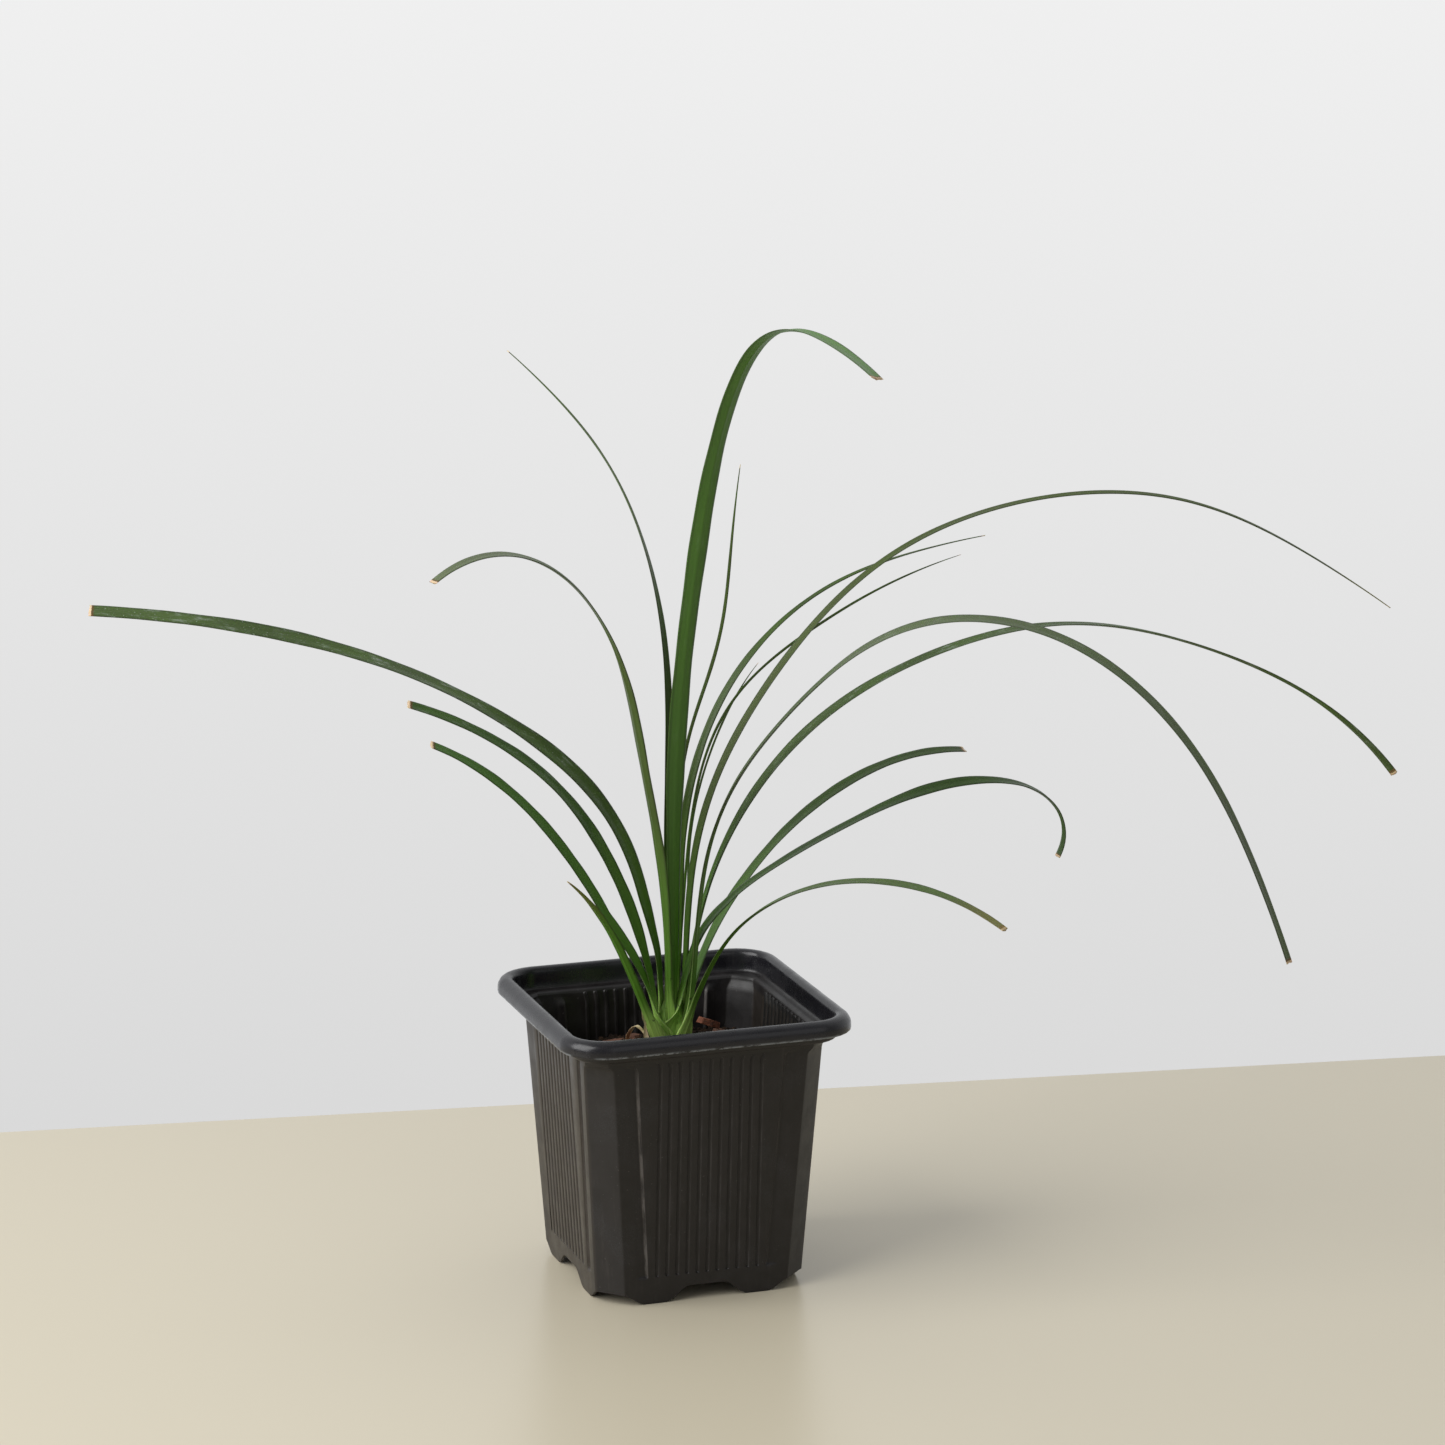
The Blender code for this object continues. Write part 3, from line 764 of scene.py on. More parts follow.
def husk_material():
    """Dried sheath: tan and papery, brown inside, pale along its torn edges."""
    made, tree, shader = new_material("dried_husk")
    across = add_node(tree, "ShaderNodeAttribute", attribute_name="across").outputs["Fac"]
    share = add_node(tree, "ShaderNodeAttribute", attribute_name="share").outputs["Fac"]
    coords = add_node(tree, "ShaderNodeTexCoord").outputs["Object"]
    fibre = noise_at(tree, scaled(tree, coords, (2200.0, 2200.0, 240.0)), 1.0, 3.0, 0.6)
    colour = mix(tree, span(tree, fibre, 0.4, 0.65), (0.20, 0.062, 0.026), (0.36, 0.15, 0.065))
    bleached = mix(tree, span(tree, fibre, 0.4, 0.65), (0.66, 0.50, 0.30), (0.80, 0.68, 0.46))
    colour = mix(tree, span(tree, share, 0.36, 0.52), colour, bleached)
    edge = span(tree, maths(tree, "ABSOLUTE", across), 0.72, 0.97)
    colour = mix(tree, times(tree, edge, 0.45), colour, (0.62, 0.44, 0.25))
    tree.links.new(colour, shader.inputs["Base Color"])
    shader.inputs["Roughness"].default_value = 0.7
    bump(tree, shader, fibre, 0.4, 0.0002)
    return made


# ---------------------------------------------------------------- pot


def body_half(height):
    """Half the outside width of the pot's body at a height, in millimetres."""
    return BODY_HALF_GROUND + BODY_TAPER * height


def foot_line(u):
    """Height of the skirt's lower edge across a side: an arch, a foot, a lift to the corner."""
    u = abs(u)
    if u < 14.3:
        return 5.0 * (1 - ease(6.0, 14.3, u))
    return 3.6 * ease(22.0, 29.0, u)


def side_stations(width, rib_share, trough_share, depth, quarter):
    """Points across one side: place, depth pressed in, groove share, and share of painted highlight
    on the trough's edge.
    """
    stations = []
    shift = {1: SIDE_SHIFT, 3: -SIDE_SHIFT}.get(quarter, 0.0)
    pitch = RIB_PITCH + 0.1 * (quarter % 2)
    depth *= SIDE_DEPTH if quarter % 2 else 1.0
    first = BACK_TROUGH if quarter == 3 else 1.0
    last = BACK_TROUGH if quarter == 1 else 1.0
    trough = ((0.3, 0), (1.6, 0), (3.6, 0), (4.2, 0.1), (5.2, 0.4), (6.2, 0.7), (7.1, 0.95))
    trough += ((7.5, 1.0), (7.75, 0.85), (8.05, 0.1), (8.25, 0))
    for inward, share in trough:
        # Painted highlight on the near trough's edge
        bright = trough_share * (7.4 < inward < 8.1)
        pressed = first * share * trough_share * TROUGH_DEPTH
        stations.append((-width + inward, pressed, 0, first * bright))
    for i in range(RIB_COUNT):
        centre = shift + (i - (RIB_COUNT - 1) / 2) * pitch
        profile = ((-0.85, 0), (-0.72, 0.08), (-0.36, 0.92), (-0.2, 1), (0.2, 1), (0.36, 0.92))
        profile += ((0.72, 0.08), (0.85, 0))
        for across, share in profile:
            pressed = share * (rib_share > 0)
            stations.append((centre + across * max(rib_share, 0.05), pressed * depth, pressed, 0))
        if i < RIB_COUNT - 1:
            stations.append((centre + pitch / 2, 0, 0, 0))
    for inward, share in reversed(trough):
        # Painted highlight on the far trough's edge, a quarter as strong
        bright = 0.25 * trough_share * (7.4 < inward < 8.1)
        pressed = last * share * trough_share * TROUGH_DEPTH
        stations.append((width - inward, pressed, 0, last * bright))
    return stations


def pot_ring(z, half, corner, roundness, depth, lift=None, top=GROOVE_TOP):
    """One outline of the pot. lift gives the share of the way up from the skirt's edge."""
    if z < GROOVE_BOTTOM or z > top or roundness > 0:
        rib = 0.0
    else:
        inside = min(z - GROOVE_BOTTOM, top - z, GROOVE_ROUND)
        rib = math.sqrt(1 - (1 - inside / GROOVE_ROUND) ** 2)
    trough = ease(8.8, 9.8, z) * (1 - ease(83.2, 84.4, z)) * (1 - roundness)
    ring = []
    straight = half - corner
    width = body_half(z) - CORNER_CUT if roundness < 1 else RIM_FLAT
    corner_steps = (0.0, 0.05, 0.2, 0.35, 0.5, 0.65, 0.8, 0.95, 1.0)
    for quarter in range(4):
        turn = Matrix.Rotation(quarter * math.pi / 2, 3, "Z")
        stations = side_stations(width, rib, trough, depth, quarter)
        edge = stations[-1][0] + 0.3
        for across, pressed, groove, bright in stations:
            u = across * straight / edge
            ring.append((turn @ Vector((u, -(half - pressed), 0)), u, groove, bright))
        for share in corner_steps:
            angle = share * math.pi / 2
            cut_point = Vector((half - corner + corner * share, -(half - corner * share), 0))
            if share in (0.0, 1.0):
                cut_point -= Vector((1, -1, 0)).normalized() * 0.05
            centre = half - corner
            arc = corner * Vector((math.sin(angle), -math.cos(angle), 0))
            arc += Vector((centre, -centre, 0))
            point = cut_point.lerp(arc, roundness)
            ring.append((turn @ point, straight + 3 * min(share, 1 - share), 0, 0))
    finished = []
    for point, u, groove, bright in ring:
        level = z
        if lift is not None:
            low = foot_line(u)
            level = low + lift * (z - low)
            shift = BODY_TAPER * (level - z)
            point = point * (1 + shift / half)
        finished.append((AXIS + Vector((point.x, point.y, level)) * MM, groove, bright))
    return finished


def pot_rings(settings):
    """Every outline of the pot, from the floor's underside, over the rim, to the floor inside."""
    depth = settings.groove_depth / MM
    wall = settings.wall / MM
    inner_cut = CORNER_CUT - wall * (2 - math.sqrt(2))
    rings = []
    top = 5.35
    for share in (1.0, 0.6, 0.25, 0.0):
        rings.append(pot_ring(top, body_half(top) - wall, inner_cut, 0, 0, lift=share))
    for share in (0.0, 0.08, 0.3, 0.6, 1.0):
        rings.append(pot_ring(8.0, body_half(8.0), CORNER_CUT, 0, 0, lift=share))
    heights = [8.7, 9.1, 9.25, 9.45, 9.7, 9.95, 10.4, 14, 24, 34, 44, 54, 64, 74, 80, 82.2]
    for z in heights:
        rings.append(pot_ring(z, body_half(z), CORNER_CUT, 0, depth))
    # From the shoulder over the rim to the step inside it: height, half the width, how much of
    # the corner is cut off, and how round the cut is
    shoulder = (
        (83.2, body_half(83.2), 7.6, 0),
        (83.7, body_half(83.7), 7.0, 0),
        (84.0, body_half(84.0), 6.7, 0),
        (84.2, body_half(84.2), 6.5, 0),
        (84.8, body_half(84.8), 6.2, 0.05),
        (85.6, body_half(85.6) + 0.1, 6.3, 0.2),
        (86.1, body_half(86.1) + 0.5, 7.6, 0.6),
        (86.4, 43.4, 9.2, 1),
        (86.6, 44.4, 9.8, 1),
        (86.9, 45.0, 10.2, 1),
        (87.5, 45.4, 10.6, 1),
        (90.0, 45.6, 10.8, 1),
        (92.6, 45.8, 11.0, 1),
        (93.3, 46.2, 11.4, 1),
        (93.6, 46.9, 12.0, 1),
        (93.4, 48.0, 13.1, 1),
        (92.8, 48.6, 13.7, 1),
        (91.5, 48.9, 14.0, 1),
        (90.0, 49.1, 14.2, 1),
        (89.7, 49.2, 14.3, 1),
        (89.6, 49.5, 14.5, 1),
        (89.65, 49.8, 14.8, 1),
        (89.9, 50.0, 15.0, 1),
        (90.6, 50.0, 15.0, 1),
        (91.8, 49.95, 15.0, 1),
        (92.8, 49.75, 14.8, 1),
        (93.5, 49.4, 14.5, 1),
        (94.1, 48.9, 14.0, 1),
        (94.6, 48.2, 13.3, 1),
        (94.9, 47.4, 12.6, 1),
        (95.0, 46.7, 12.0, 1),
        (94.9, 46.0, 11.5, 1),
        (94.6, 45.4, 11.0, 1),
        (94.1, 45.0, 10.7, 1),
        (93.4, 44.8, 10.5, 1),
        (92.4, 44.7, 10.4, 1),
        (90.4, 44.6, 10.3, 1),
        (88.4, 44.5, 10.2, 1),
        (87.9, 44.3, 10.0, 1),
        (87.6, 43.9, 9.7, 1),
        (87.5, 43.0, 9.0, 1),
        (87.4, 42.2, 8.4, 0.8),
        (87.2, 41.6, 7.4, 0.5),
        (86.9, 41.1, 6.4, 0.25),
        (86.6, 40.85, 5.9, 0.1),
    )
    for z, half, corner, roundness in shoulder:
        rings.append(pot_ring(z, half * RIM_HALF / 50, corner, roundness, depth))
    for z in (86.3, 86.1, 85.9, 85.6, 85.2, 84, 83, 82, 76, 68, 50, 30, 12, 9.9, 9.3, 8.7, 6.1):
        cut = inner_cut - 1.4 * ease(82.5, 86.2, z)
        rings.append(pot_ring(z, body_half(z) - wall, cut, 0, depth, top=INNER_RIB_TOP))
    return rings


def make_pot_piece(settings):
    """The pot as one closed shell, with its drain holes cut through the floor."""
    bm = bmesh.new()
    groove_layer = bm.verts.layers.float.new("groove")
    trough_highlight_layer = bm.verts.layers.float.new("trough")
    rings = pot_rings(settings)
    loops = loft(bm, [[point for point, *_ in ring] for ring in rings])
    for loop, ring in zip(loops, rings):
        for vert, (_, groove, bright) in zip(loop, ring):
            vert[groove_layer] = groove
            vert[trough_highlight_layer] = bright
    pot = finish_mesh("pot_shell", bm)
    bm = bmesh.new()
    places = [(0, 0)]
    for x in (-DRAIN_OFFSET, DRAIN_OFFSET):
        for y in (-DRAIN_OFFSET, DRAIN_OFFSET):
            places.append((x, y))
    for x, y in places:
        centre = AXIS + Vector((x, y, 5.6)) * MM
        size = DRAIN_RADIUS * MM
        bmesh.ops.create_cone(
            bm,
            cap_ends=True,
            segments=32,
            radius1=size,
            radius2=size,
            depth=4 * MM,
            matrix=Matrix.Translation(centre),
        )
    drill = finish_mesh("drain_drill", bm)
    holes = pot.modifiers.new("drain_holes", "BOOLEAN")
    holes.operation = "DIFFERENCE"
    holes.solver = "EXACT"
    holes.object = drill
    bpy.context.view_layer.update()
    graph = bpy.context.evaluated_depsgraph_get()
    drilled = bpy.data.meshes.new_from_object(pot.evaluated_get(graph))
    pot.modifiers.remove(holes)
    pot.data = drilled
    bpy.data.objects.remove(drill)
    pot.data.materials.clear()
    pot.data.materials.append(pot_material(settings))
    return pot


# ---------------------------------------------------------------- soil


def soil_height(x, y):
    """Height of the soil's uneven top, in millimetres, at a place from the pot's axis."""
    away = math.hypot(x, y)
    dome = 75.2 - 3.2 * ease(7, 24, away) - 2.6 * ease(20, 46, away)
    rough = noise.fractal(Vector((x * 0.16, y * 0.16, 3.1)), 0.6, 2.2, 5)
    return dome + 0.6 * rough


def make_soil_piece(settings):
    """The soil: an uneven top over straight sides that fill the pot."""
    bm = bmesh.new()
    half = body_half(72) - 1.4
    per_side = 26
    outline = []
    for quarter in range(4):
        turn = Matrix.Rotation(quarter * math.pi / 2, 3, "Z")
        flat = half - CORNER_CUT
        for i in range(per_side):
            outline.append(turn @ Vector((-flat + 2 * flat * i / (per_side - 1), -half, 0)))
        for i in range(1, 6):
            cut = CORNER_CUT * i / 6
            outline.append(turn @ Vector((flat + cut, -half + cut, 0)))
    rings = []
    low = (body_half(6.5) - 1.4) / half
    rings.append([AXIS + Vector((p.x * low, p.y * low, 6.4)) * MM for p in outline])
    steps = 34
    for i in range(steps):
        share = 1 - (i / steps) ** 1.1
        ring = []
        for p in outline:
            x, y = p.x * share, p.y * share
            ring.append(AXIS + Vector((x, y, soil_height(x, y) - 0.6 * (i == 0))) * MM)
        rings.append(ring)
    loft(bm, rings)
    soil = finish_mesh("soil_bed", bm, 80)
    soil.data.materials.append(soil_material(settings, "potting_soil", 1.0))
    return soil


def crumb_tree():
    """Geometry nodes: uneven crumbs of random size scattered over the upward faces of a mesh."""
    tree = bpy.data.node_groups.new("Soil Crumbs", "GeometryNodeTree")
    face = tree.interface
    face.new_socket("Ground", in_out="INPUT", socket_type="NodeSocketGeometry")
    for name, kind in (
        ("Count", "NodeSocketInt"),
        ("Largest", "NodeSocketFloat"),
        ("Smallest", "NodeSocketFloat"),
        ("Seed", "NodeSocketInt"),
        ("Finish", "NodeSocketMaterial"),
    ):
        face.new_socket(name, in_out="INPUT", socket_type=kind)
    face.new_socket("Crumbs", in_out="OUTPUT", socket_type="NodeSocketGeometry")
    given = add_node(tree, "NodeGroupInput").outputs
    normal = add_node(tree, "GeometryNodeInputNormal").outputs[0]
    up = add_node(tree, "ShaderNodeSeparateXYZ", {"Vector": normal}).outputs[2]
    upward = maths(tree, "GREATER_THAN", up, 0.5)
    area = add_node(tree, "GeometryNodeInputMeshFaceArea").outputs[0]
    stats = add_node(
        tree,
        "GeometryNodeAttributeStatistic",
        {"Geometry": given["Ground"], "Selection": upward, "Attribute": area},
        domain="FACE",
    )
    density = maths(tree, "DIVIDE", given["Count"], stats.outputs["Sum"])
    points = add_node(
        tree,
        "GeometryNodeDistributePointsOnFaces",
        {"Mesh": given["Ground"], "Selection": upward, "Density": density, "Seed": given["Seed"]},
        distribute_method="RANDOM",
    )
    ball = add_node(tree, "GeometryNodeMeshUVSphere", {"Radius": 1.0, "Segments": 7, "Rings": 5})
    turn = add_node(
        tree,
        "FunctionNodeRandomValue",
        {"Min": (0.0,) * 3, "Max": (FULL_TURN,) * 3, "Seed": given["Seed"]},
        data_type="FLOAT_VECTOR",
    )
    draw = add_node(tree, "FunctionNodeRandomValue", {"Seed": 7}, data_type="FLOAT")
    skewed = maths(tree, "POWER", draw.outputs[1], 2.6)
    size = add_node(
        tree,
        "ShaderNodeMapRange",
        {"Value": skewed, "To Min": given["Smallest"], "To Max": given["Largest"]},
    ).outputs[0]
    squash = add_node(
        tree,
        "FunctionNodeRandomValue",
        {"Min": (0.7, 0.55, 0.4), "Max": (1.5, 1.0, 0.8), "Seed": 11},
        data_type="FLOAT_VECTOR",
    )
    scale = vector_maths(tree, "SCALE", {0: squash.outputs[0], "Scale": size})
    copies = add_node(
        tree,
        "GeometryNodeInstanceOnPoints",
        {
            "Points": points.outputs["Points"],
            "Instance": ball.outputs["Mesh"],
            "Rotation": turn.outputs[0],
            "Scale": scale,
        },
    )
    real = add_node(tree, "GeometryNodeRealizeInstances", {"Geometry": copies.outputs[0]})
    here = add_node(tree, "GeometryNodeInputPosition").outputs[0]
    lumps = add_node(tree, "ShaderNodeTexNoise", {"Vector": here, "Scale": 900.0, "Detail": 2.0})
    centred = vector_maths(tree, "SUBTRACT", {0: lumps.outputs["Color"], 1: (0.5, 0.5, 0.5)})
    reach = times(tree, given["Largest"], 0.9)
    push = vector_maths(tree, "SCALE", {0: centred, "Scale": reach})
    moved = add_node(
        tree,
        "GeometryNodeSetPosition",
        {"Geometry": real.outputs[0], "Offset": push},
    )
    coated = add_node(
        tree,
        "GeometryNodeSetMaterial",
        {"Geometry": moved.outputs[0], "Material": given["Finish"]},
    )
    add_node(tree, "NodeGroupOutput", {"Crumbs": coated.outputs[0]})
    return tree


def grown_from(name, source, tree, values):
    """Run a geometry node tree on an object and keep the result as a plain mesh object."""
    modifier = source.modifiers.new(tree.name, "NODES")
    modifier.node_group = tree
    for item in tree.interface.items_tree:
        if item.item_type == "SOCKET" and item.in_out == "INPUT" and item.name in values:
            modifier[item.identifier] = values[item.name]
    bpy.context.view_layer.update()
    graph = bpy.context.evaluated_depsgraph_get()
    mesh = bpy.data.meshes.new_from_object(source.evaluated_get(graph))
    source.modifiers.remove(modifier)
    mesh.name = name
    obj = bpy.data.objects.new(name, mesh)
    bpy.context.scene.collection.objects.link(obj)
    return obj


# ---------------------------------------------------------------- leaves


def blade_tree():
    """Geometry nodes: a channelled blade swept along a path that carries its own shape."""
    tree = bpy.data.node_groups.new("Palm Blade", "GeometryNodeTree")
    face = tree.interface
    face.new_socket("Path", in_out="INPUT", socket_type="NodeSocketGeometry")
    for name, kind in (
        ("Rows", "NodeSocketInt"),
        ("Columns", "NodeSocketInt"),
        ("Length", "NodeSocketFloat"),
        ("Clasp", "NodeSocketFloat"),
        ("Ragged", "NodeSocketFloat"),
        ("Seed", "NodeSocketFloat"),
        ("Finish", "NodeSocketMaterial"),
    ):
        face.new_socket(name, in_out="INPUT", socket_type=kind)
    face.new_socket("Blade", in_out="OUTPUT", socket_type="NodeSocketGeometry")
    given = add_node(tree, "NodeGroupInput").outputs
    tube = add_node(
        tree,
        "GeometryNodeMeshCylinder",
        {"Vertices": given["Columns"], "Side Segments": given["Rows"], "Radius": 1.0, "Depth": 1.0},
        fill_type="NGON",
    )
    curve = add_node(tree, "GeometryNodeMeshToCurve", {"Mesh": given["Path"]}).outputs[0]
    here = add_node(tree, "GeometryNodeInputPosition").outputs[0]
    parts = add_node(tree, "ShaderNodeSeparateXYZ", {"Vector": here}).outputs
    share = plus(tree, parts[2], 0.5)
    rim = add_node(tree, "ShaderNodeClamp", {"Value": parts[0], "Min": -1.0, "Max": 1.0}).outputs[0]
    across = maths(tree, "DIVIDE", maths(tree, "ARCCOSINE", rim), math.pi / 2)
    across = minus(tree, 1.0, across)
    flat = minus(tree, 1.0, maths(tree, "POWER", maths(tree, "ABSOLUTE", across), 5.0))
    side_sign = maths(tree, "SIGN", parts[1])
    layer = times(tree, side_sign, flat)
    seed_place = add_node(
        tree,
        "ShaderNodeCombineXYZ",
        {"X": times(tree, across, 2.2), "Y": given["Seed"], "Z": 0.0},
    ).outputs[0]
    torn = add_node(tree, "ShaderNodeTexNoise", {"Vector": seed_place, "Scale": 1.0, "Detail": 3.0})
    last_row = maths(tree, "GREATER_THAN", share, 0.9995)
    back = times(tree, times(tree, torn.outputs[0], given["Ragged"]), last_row)
    factor = minus(tree, share, back)

    def sample(attribute, kind="FLOAT_VECTOR"):
        value = add_node(
            tree, "GeometryNodeInputNamedAttribute", {"Name": attribute}, data_type=kind
        ).outputs["Attribute"]
        node = add_node(
            tree,
            "GeometryNodeSampleCurve",
            {"Curves": curve, "Value": value, "Factor": factor},
            data_type=kind,
            mode="FACTOR",
        )
        return node

    side_node = sample("side")
    side = side_node.outputs["Value"]
    centre = side_node.outputs["Position"]
    up = sample("up").outputs["Value"]
    shape = sample("shape").outputs["Value"]
    shape = add_node(tree, "ShaderNodeSeparateXYZ", {"Vector": shape}).outputs
    half_width, curl, fold = shape[0], shape[1], shape[2]
    thick = sample("thick", "FLOAT").outputs["Value"]
    reach = times(tree, across, half_width)
    bend = times(tree, reach, curl)
    x = maths(tree, "DIVIDE", maths(tree, "SINE", bend), curl)
    arch = maths(tree, "DIVIDE", minus(tree, 1.0, maths(tree, "COSINE", bend)), curl)
    soft = 0.0005
    crease = maths(tree, "SQRT", plus(tree, times(tree, reach, reach), soft * soft))
    crease = times(tree, minus(tree, crease, soft), fold)
    body = times(tree, times(tree, layer, thick), 0.5)
    ridge = maths(tree, "DIVIDE", reach, times(tree, half_width, 0.18))
    ridge = maths(tree, "EXPONENT", times(tree, times(tree, ridge, ridge), -1.0))
    below = maths(tree, "LESS_THAN", parts[1], 0.0)
    keel = times(tree, times(tree, ridge, below), times(tree, thick, 0.45))
    y = plus(tree, plus(tree, arch, crease), minus(tree, body, keel))
    side_part = vector_maths(tree, "SCALE", {0: side, "Scale": x})
    up_part = vector_maths(tree, "SCALE", {0: up, "Scale": y})
    place = vector_maths(tree, "ADD", {0: centre, 1: side_part})
    place = vector_maths(tree, "ADD", {0: place, 1: up_part})
    distance = times(tree, share, given["Length"])
    stored = tube.outputs["Mesh"]
    for name, value in (
        ("across", across),
        ("face", layer),
        ("from_base", minus(tree, distance, given["Clasp"])),
        ("to_tip", minus(tree, given["Length"], distance)),
        ("width", half_width),
    ):
        stored = add_node(
            tree,
            "GeometryNodeStoreNamedAttribute",
            {"Geometry": stored, "Name": name, "Value": value},
            data_type="FLOAT",
            domain="POINT",
        ).outputs[0]
    moved = add_node(tree, "GeometryNodeSetPosition", {"Geometry": stored, "Position": place})
    real = add_node(tree, "GeometryNodeRealizeInstances", {"Geometry": moved.outputs[0]})
    coated = add_node(
        tree,
        "GeometryNodeSetMaterial",
        {"Geometry": real.outputs[0], "Material": given["Finish"]},
    )
    add_node(tree, "NodeGroupOutput", {"Blade": coated.outputs[0]})
    return tree


def blade_width(share, base, full, tip):
    """The blade's width along it: it widens from the base and narrows to its tip."""
    rise = min(max(share, 0.0) / BASE_SHARE, 1.0)
    width = base + (full - base) * rise * rise * (3 - 2 * rise)
    if tip == "cut":
        return width * (1 - 0.3 * max(0.0, share - 0.6) / 0.4)
    if tip == "thread":
        return width * (1 - 0.8 * (max(0.0, share - 0.75) / 0.25) ** 1.5)
    return width * (1 - 0.88 * (max(0.0, share - 0.45) / 0.55) ** 1.5)


def path_points(leaf, number):
    """The blade's path with its frame and shape at each point, from inside the clasp to the tip."""
    node, ring, start, heading, length, full, tip, leans, rolls, _ = leaf
    radius, level, base, flare, wrap = RINGS[ring]
    base = min(base, full * 1.2)
    flare = SHEATH_WIDTHS.get(node, flare) * min(1.0, full / 2.8)
    sideways, forwards = SETTLE.get(node, ((0, 0), (0, 0)))
    start = math.radians(start)
    heading = math.radians(heading)
    place = Vector((radius * math.cos(start), radius * math.sin(start), level))
    outward = Vector((math.cos(heading), math.sin(heading), 0))
    across = Vector((-math.sin(heading), math.cos(heading), 0))
    steps = max(40, round(length / 2.0))
    step = length / steps
    phase = number * GOLDEN_ANGLE
    points = []
    before = round(CLASP / step)
    for i in range(-before, steps + 1):
        share = max(0.0, i / steps)
        lean = math.radians(smooth(leans, share))
        if i < 0:
            lean = lean - 0.05 * i / before
        along = math.sin(lean) * outward + math.cos(lean) * Vector((0, 0, 1))
        facing = -math.cos(lean) * outward + math.sin(lean) * Vector((0, 0, 1))
        waver = 3.0 * math.sin(share * 9.0 + phase) + 2.0 * math.sin(share * 23.0 + 2 * phase)
        roll = math.radians(smooth(rolls, share) + waver * ease(0.1, 0.3, share))
        up = math.cos(roll) * facing + math.sin(roll) * across
        distance = i * step
        width = blade_width(share, base, full, "thread" if full < THREAD else tip)
        width *= (
            1 + 0.035 * math.sin(share * 31.0 + phase) + 0.02 * math.sin(share * 77.0 + 3 * phase)
        )
        clasp = 1 - ease(2.0, 20.0, distance)
        width += flare * clasp**1.3
        curl = 1 / wrap * clasp + 0.012
        fold = 0.22 * (1 - clasp) * (1 - 0.4 * share)
        thick = (1.0 - 0.5 * ease(0.0, 0.35, share)) * min(1.0, 0.25 + width / 2.4)
        if i < 0:
            spot = place + along * distance - outward * (0.05 * distance * distance / CLASP)
        else:
            spot = place.copy()
        settled = distance / (SETTLE_STEP * (len(sideways) - 1))
        if settled < 1:
            spot += SIDEWAYS * smooth(sideways, settled) + FORWARDS * smooth(forwards, settled)
        inward = Vector((-spot.x, -spot.y, 0)).normalized()
        up = up.lerp(inward, 0.8 * clasp)
        up = (up - along * up.dot(along)).normalized()
        side = up.cross(along)
        points.append((spot, side, up, (width / 2, curl, fold), thick))
        if i >= 0:
            middle = math.radians(smooth(leans, (i + 0.5) / steps))
            place = place + math.sin(middle) * step * outward
            place.z += math.cos(middle) * step
    return points, before * step


def make_path(name, points):
    """A chain of points carrying the blade's frame and shape as named attributes."""
    mesh = bpy.data.meshes.new(name)
    places = [AXIS + spot * MM for spot, *_ in points]
    mesh.from_pydata(places, [(i, i + 1) for i in range(len(places) - 1)], [])
    for key, index in (("side", 1), ("up", 2)):
        layer = mesh.attributes.new(key, "FLOAT_VECTOR", "POINT")
        layer.data.foreach_set("vector", [c for point in points for c in point[index]])
    layer = mesh.attributes.new("shape", "FLOAT_VECTOR", "POINT")
    values = []
    for point in points:
        half, curl, fold = point[3]
        values += [half * MM, curl / MM, fold]
    layer.data.foreach_set("vector", values)
    layer = mesh.attributes.new("thick", "FLOAT", "POINT")
    layer.data.foreach_set("value", [point[4] * MM for point in points])
    obj = bpy.data.objects.new(name, mesh)
    bpy.context.scene.collection.objects.link(obj)
    return obj


def face_outwards(obj):
    """Turn the faces round if the closed mesh is inside out."""
    bm = bmesh.new()
    bm.from_mesh(obj.data)
    if bm.calc_volume(signed=True) < 0:
        bmesh.ops.reverse_faces(bm, faces=bm.faces)
    bm.to_mesh(obj.data)
    bm.free()


def make_blades(settings):
    """Every blade of the plant, each in place of its own CAD node."""
    tree = blade_tree()
    finish = blade_material(settings)
    for number, leaf in enumerate(LEAVES, 1):
        node, _, _, _, grown_length, full, tip, _, _, looks = leaf
        points, clasp = path_points(leaf, number)
        path = make_path(f"path_{number:02d}", points)
        length = (grown_length + clasp) * MM
        rows = round(length / settings.step)
        ragged = 0.0 if tip == "fine" else 1.3 * MM / length
        blade = grown_from(
            f"blade_{number:02d}",
            path,
            tree,
            {
                "Rows": rows,
                "Columns": settings.columns if full > THREAD else THREAD_COLUMNS,
                "Length": length,
                "Clasp": clasp * MM,
                "Ragged": ragged,
                "Seed": number * 3.7,
                "Finish": finish,
            },
        )
        bpy.data.objects.remove(path)
        face_outwards(blade)
        olive, dust, dead, painted_lighting, sheen_share, sheen_from = looks
        grown = [0.0] * len(blade.data.vertices)
        blade.data.attributes["from_base"].data.foreach_get("value", grown)
        reach = grown_length * MM
        # Painted sheen at each point, fading in from its given share of the blade's length
        painted_sheen = [sheen_share * ease(sheen_from, sheen_from + 0.12, g / reach) for g in grown]
        for key, value in (("olive", olive), ("dust", dust), ("dead", dead), ("painted_lighting", painted_lighting)):
            layer = blade.data.attributes.new(key, "FLOAT", "POINT")
            layer.data.foreach_set("value", [value] * len(grown))
        layer = blade.data.attributes.new("sheen_share", "FLOAT", "POINT")
        layer.data.foreach_set("value", painted_sheen)
        blade.data.shade_smooth()
        place_piece(blade, "leaf", node)


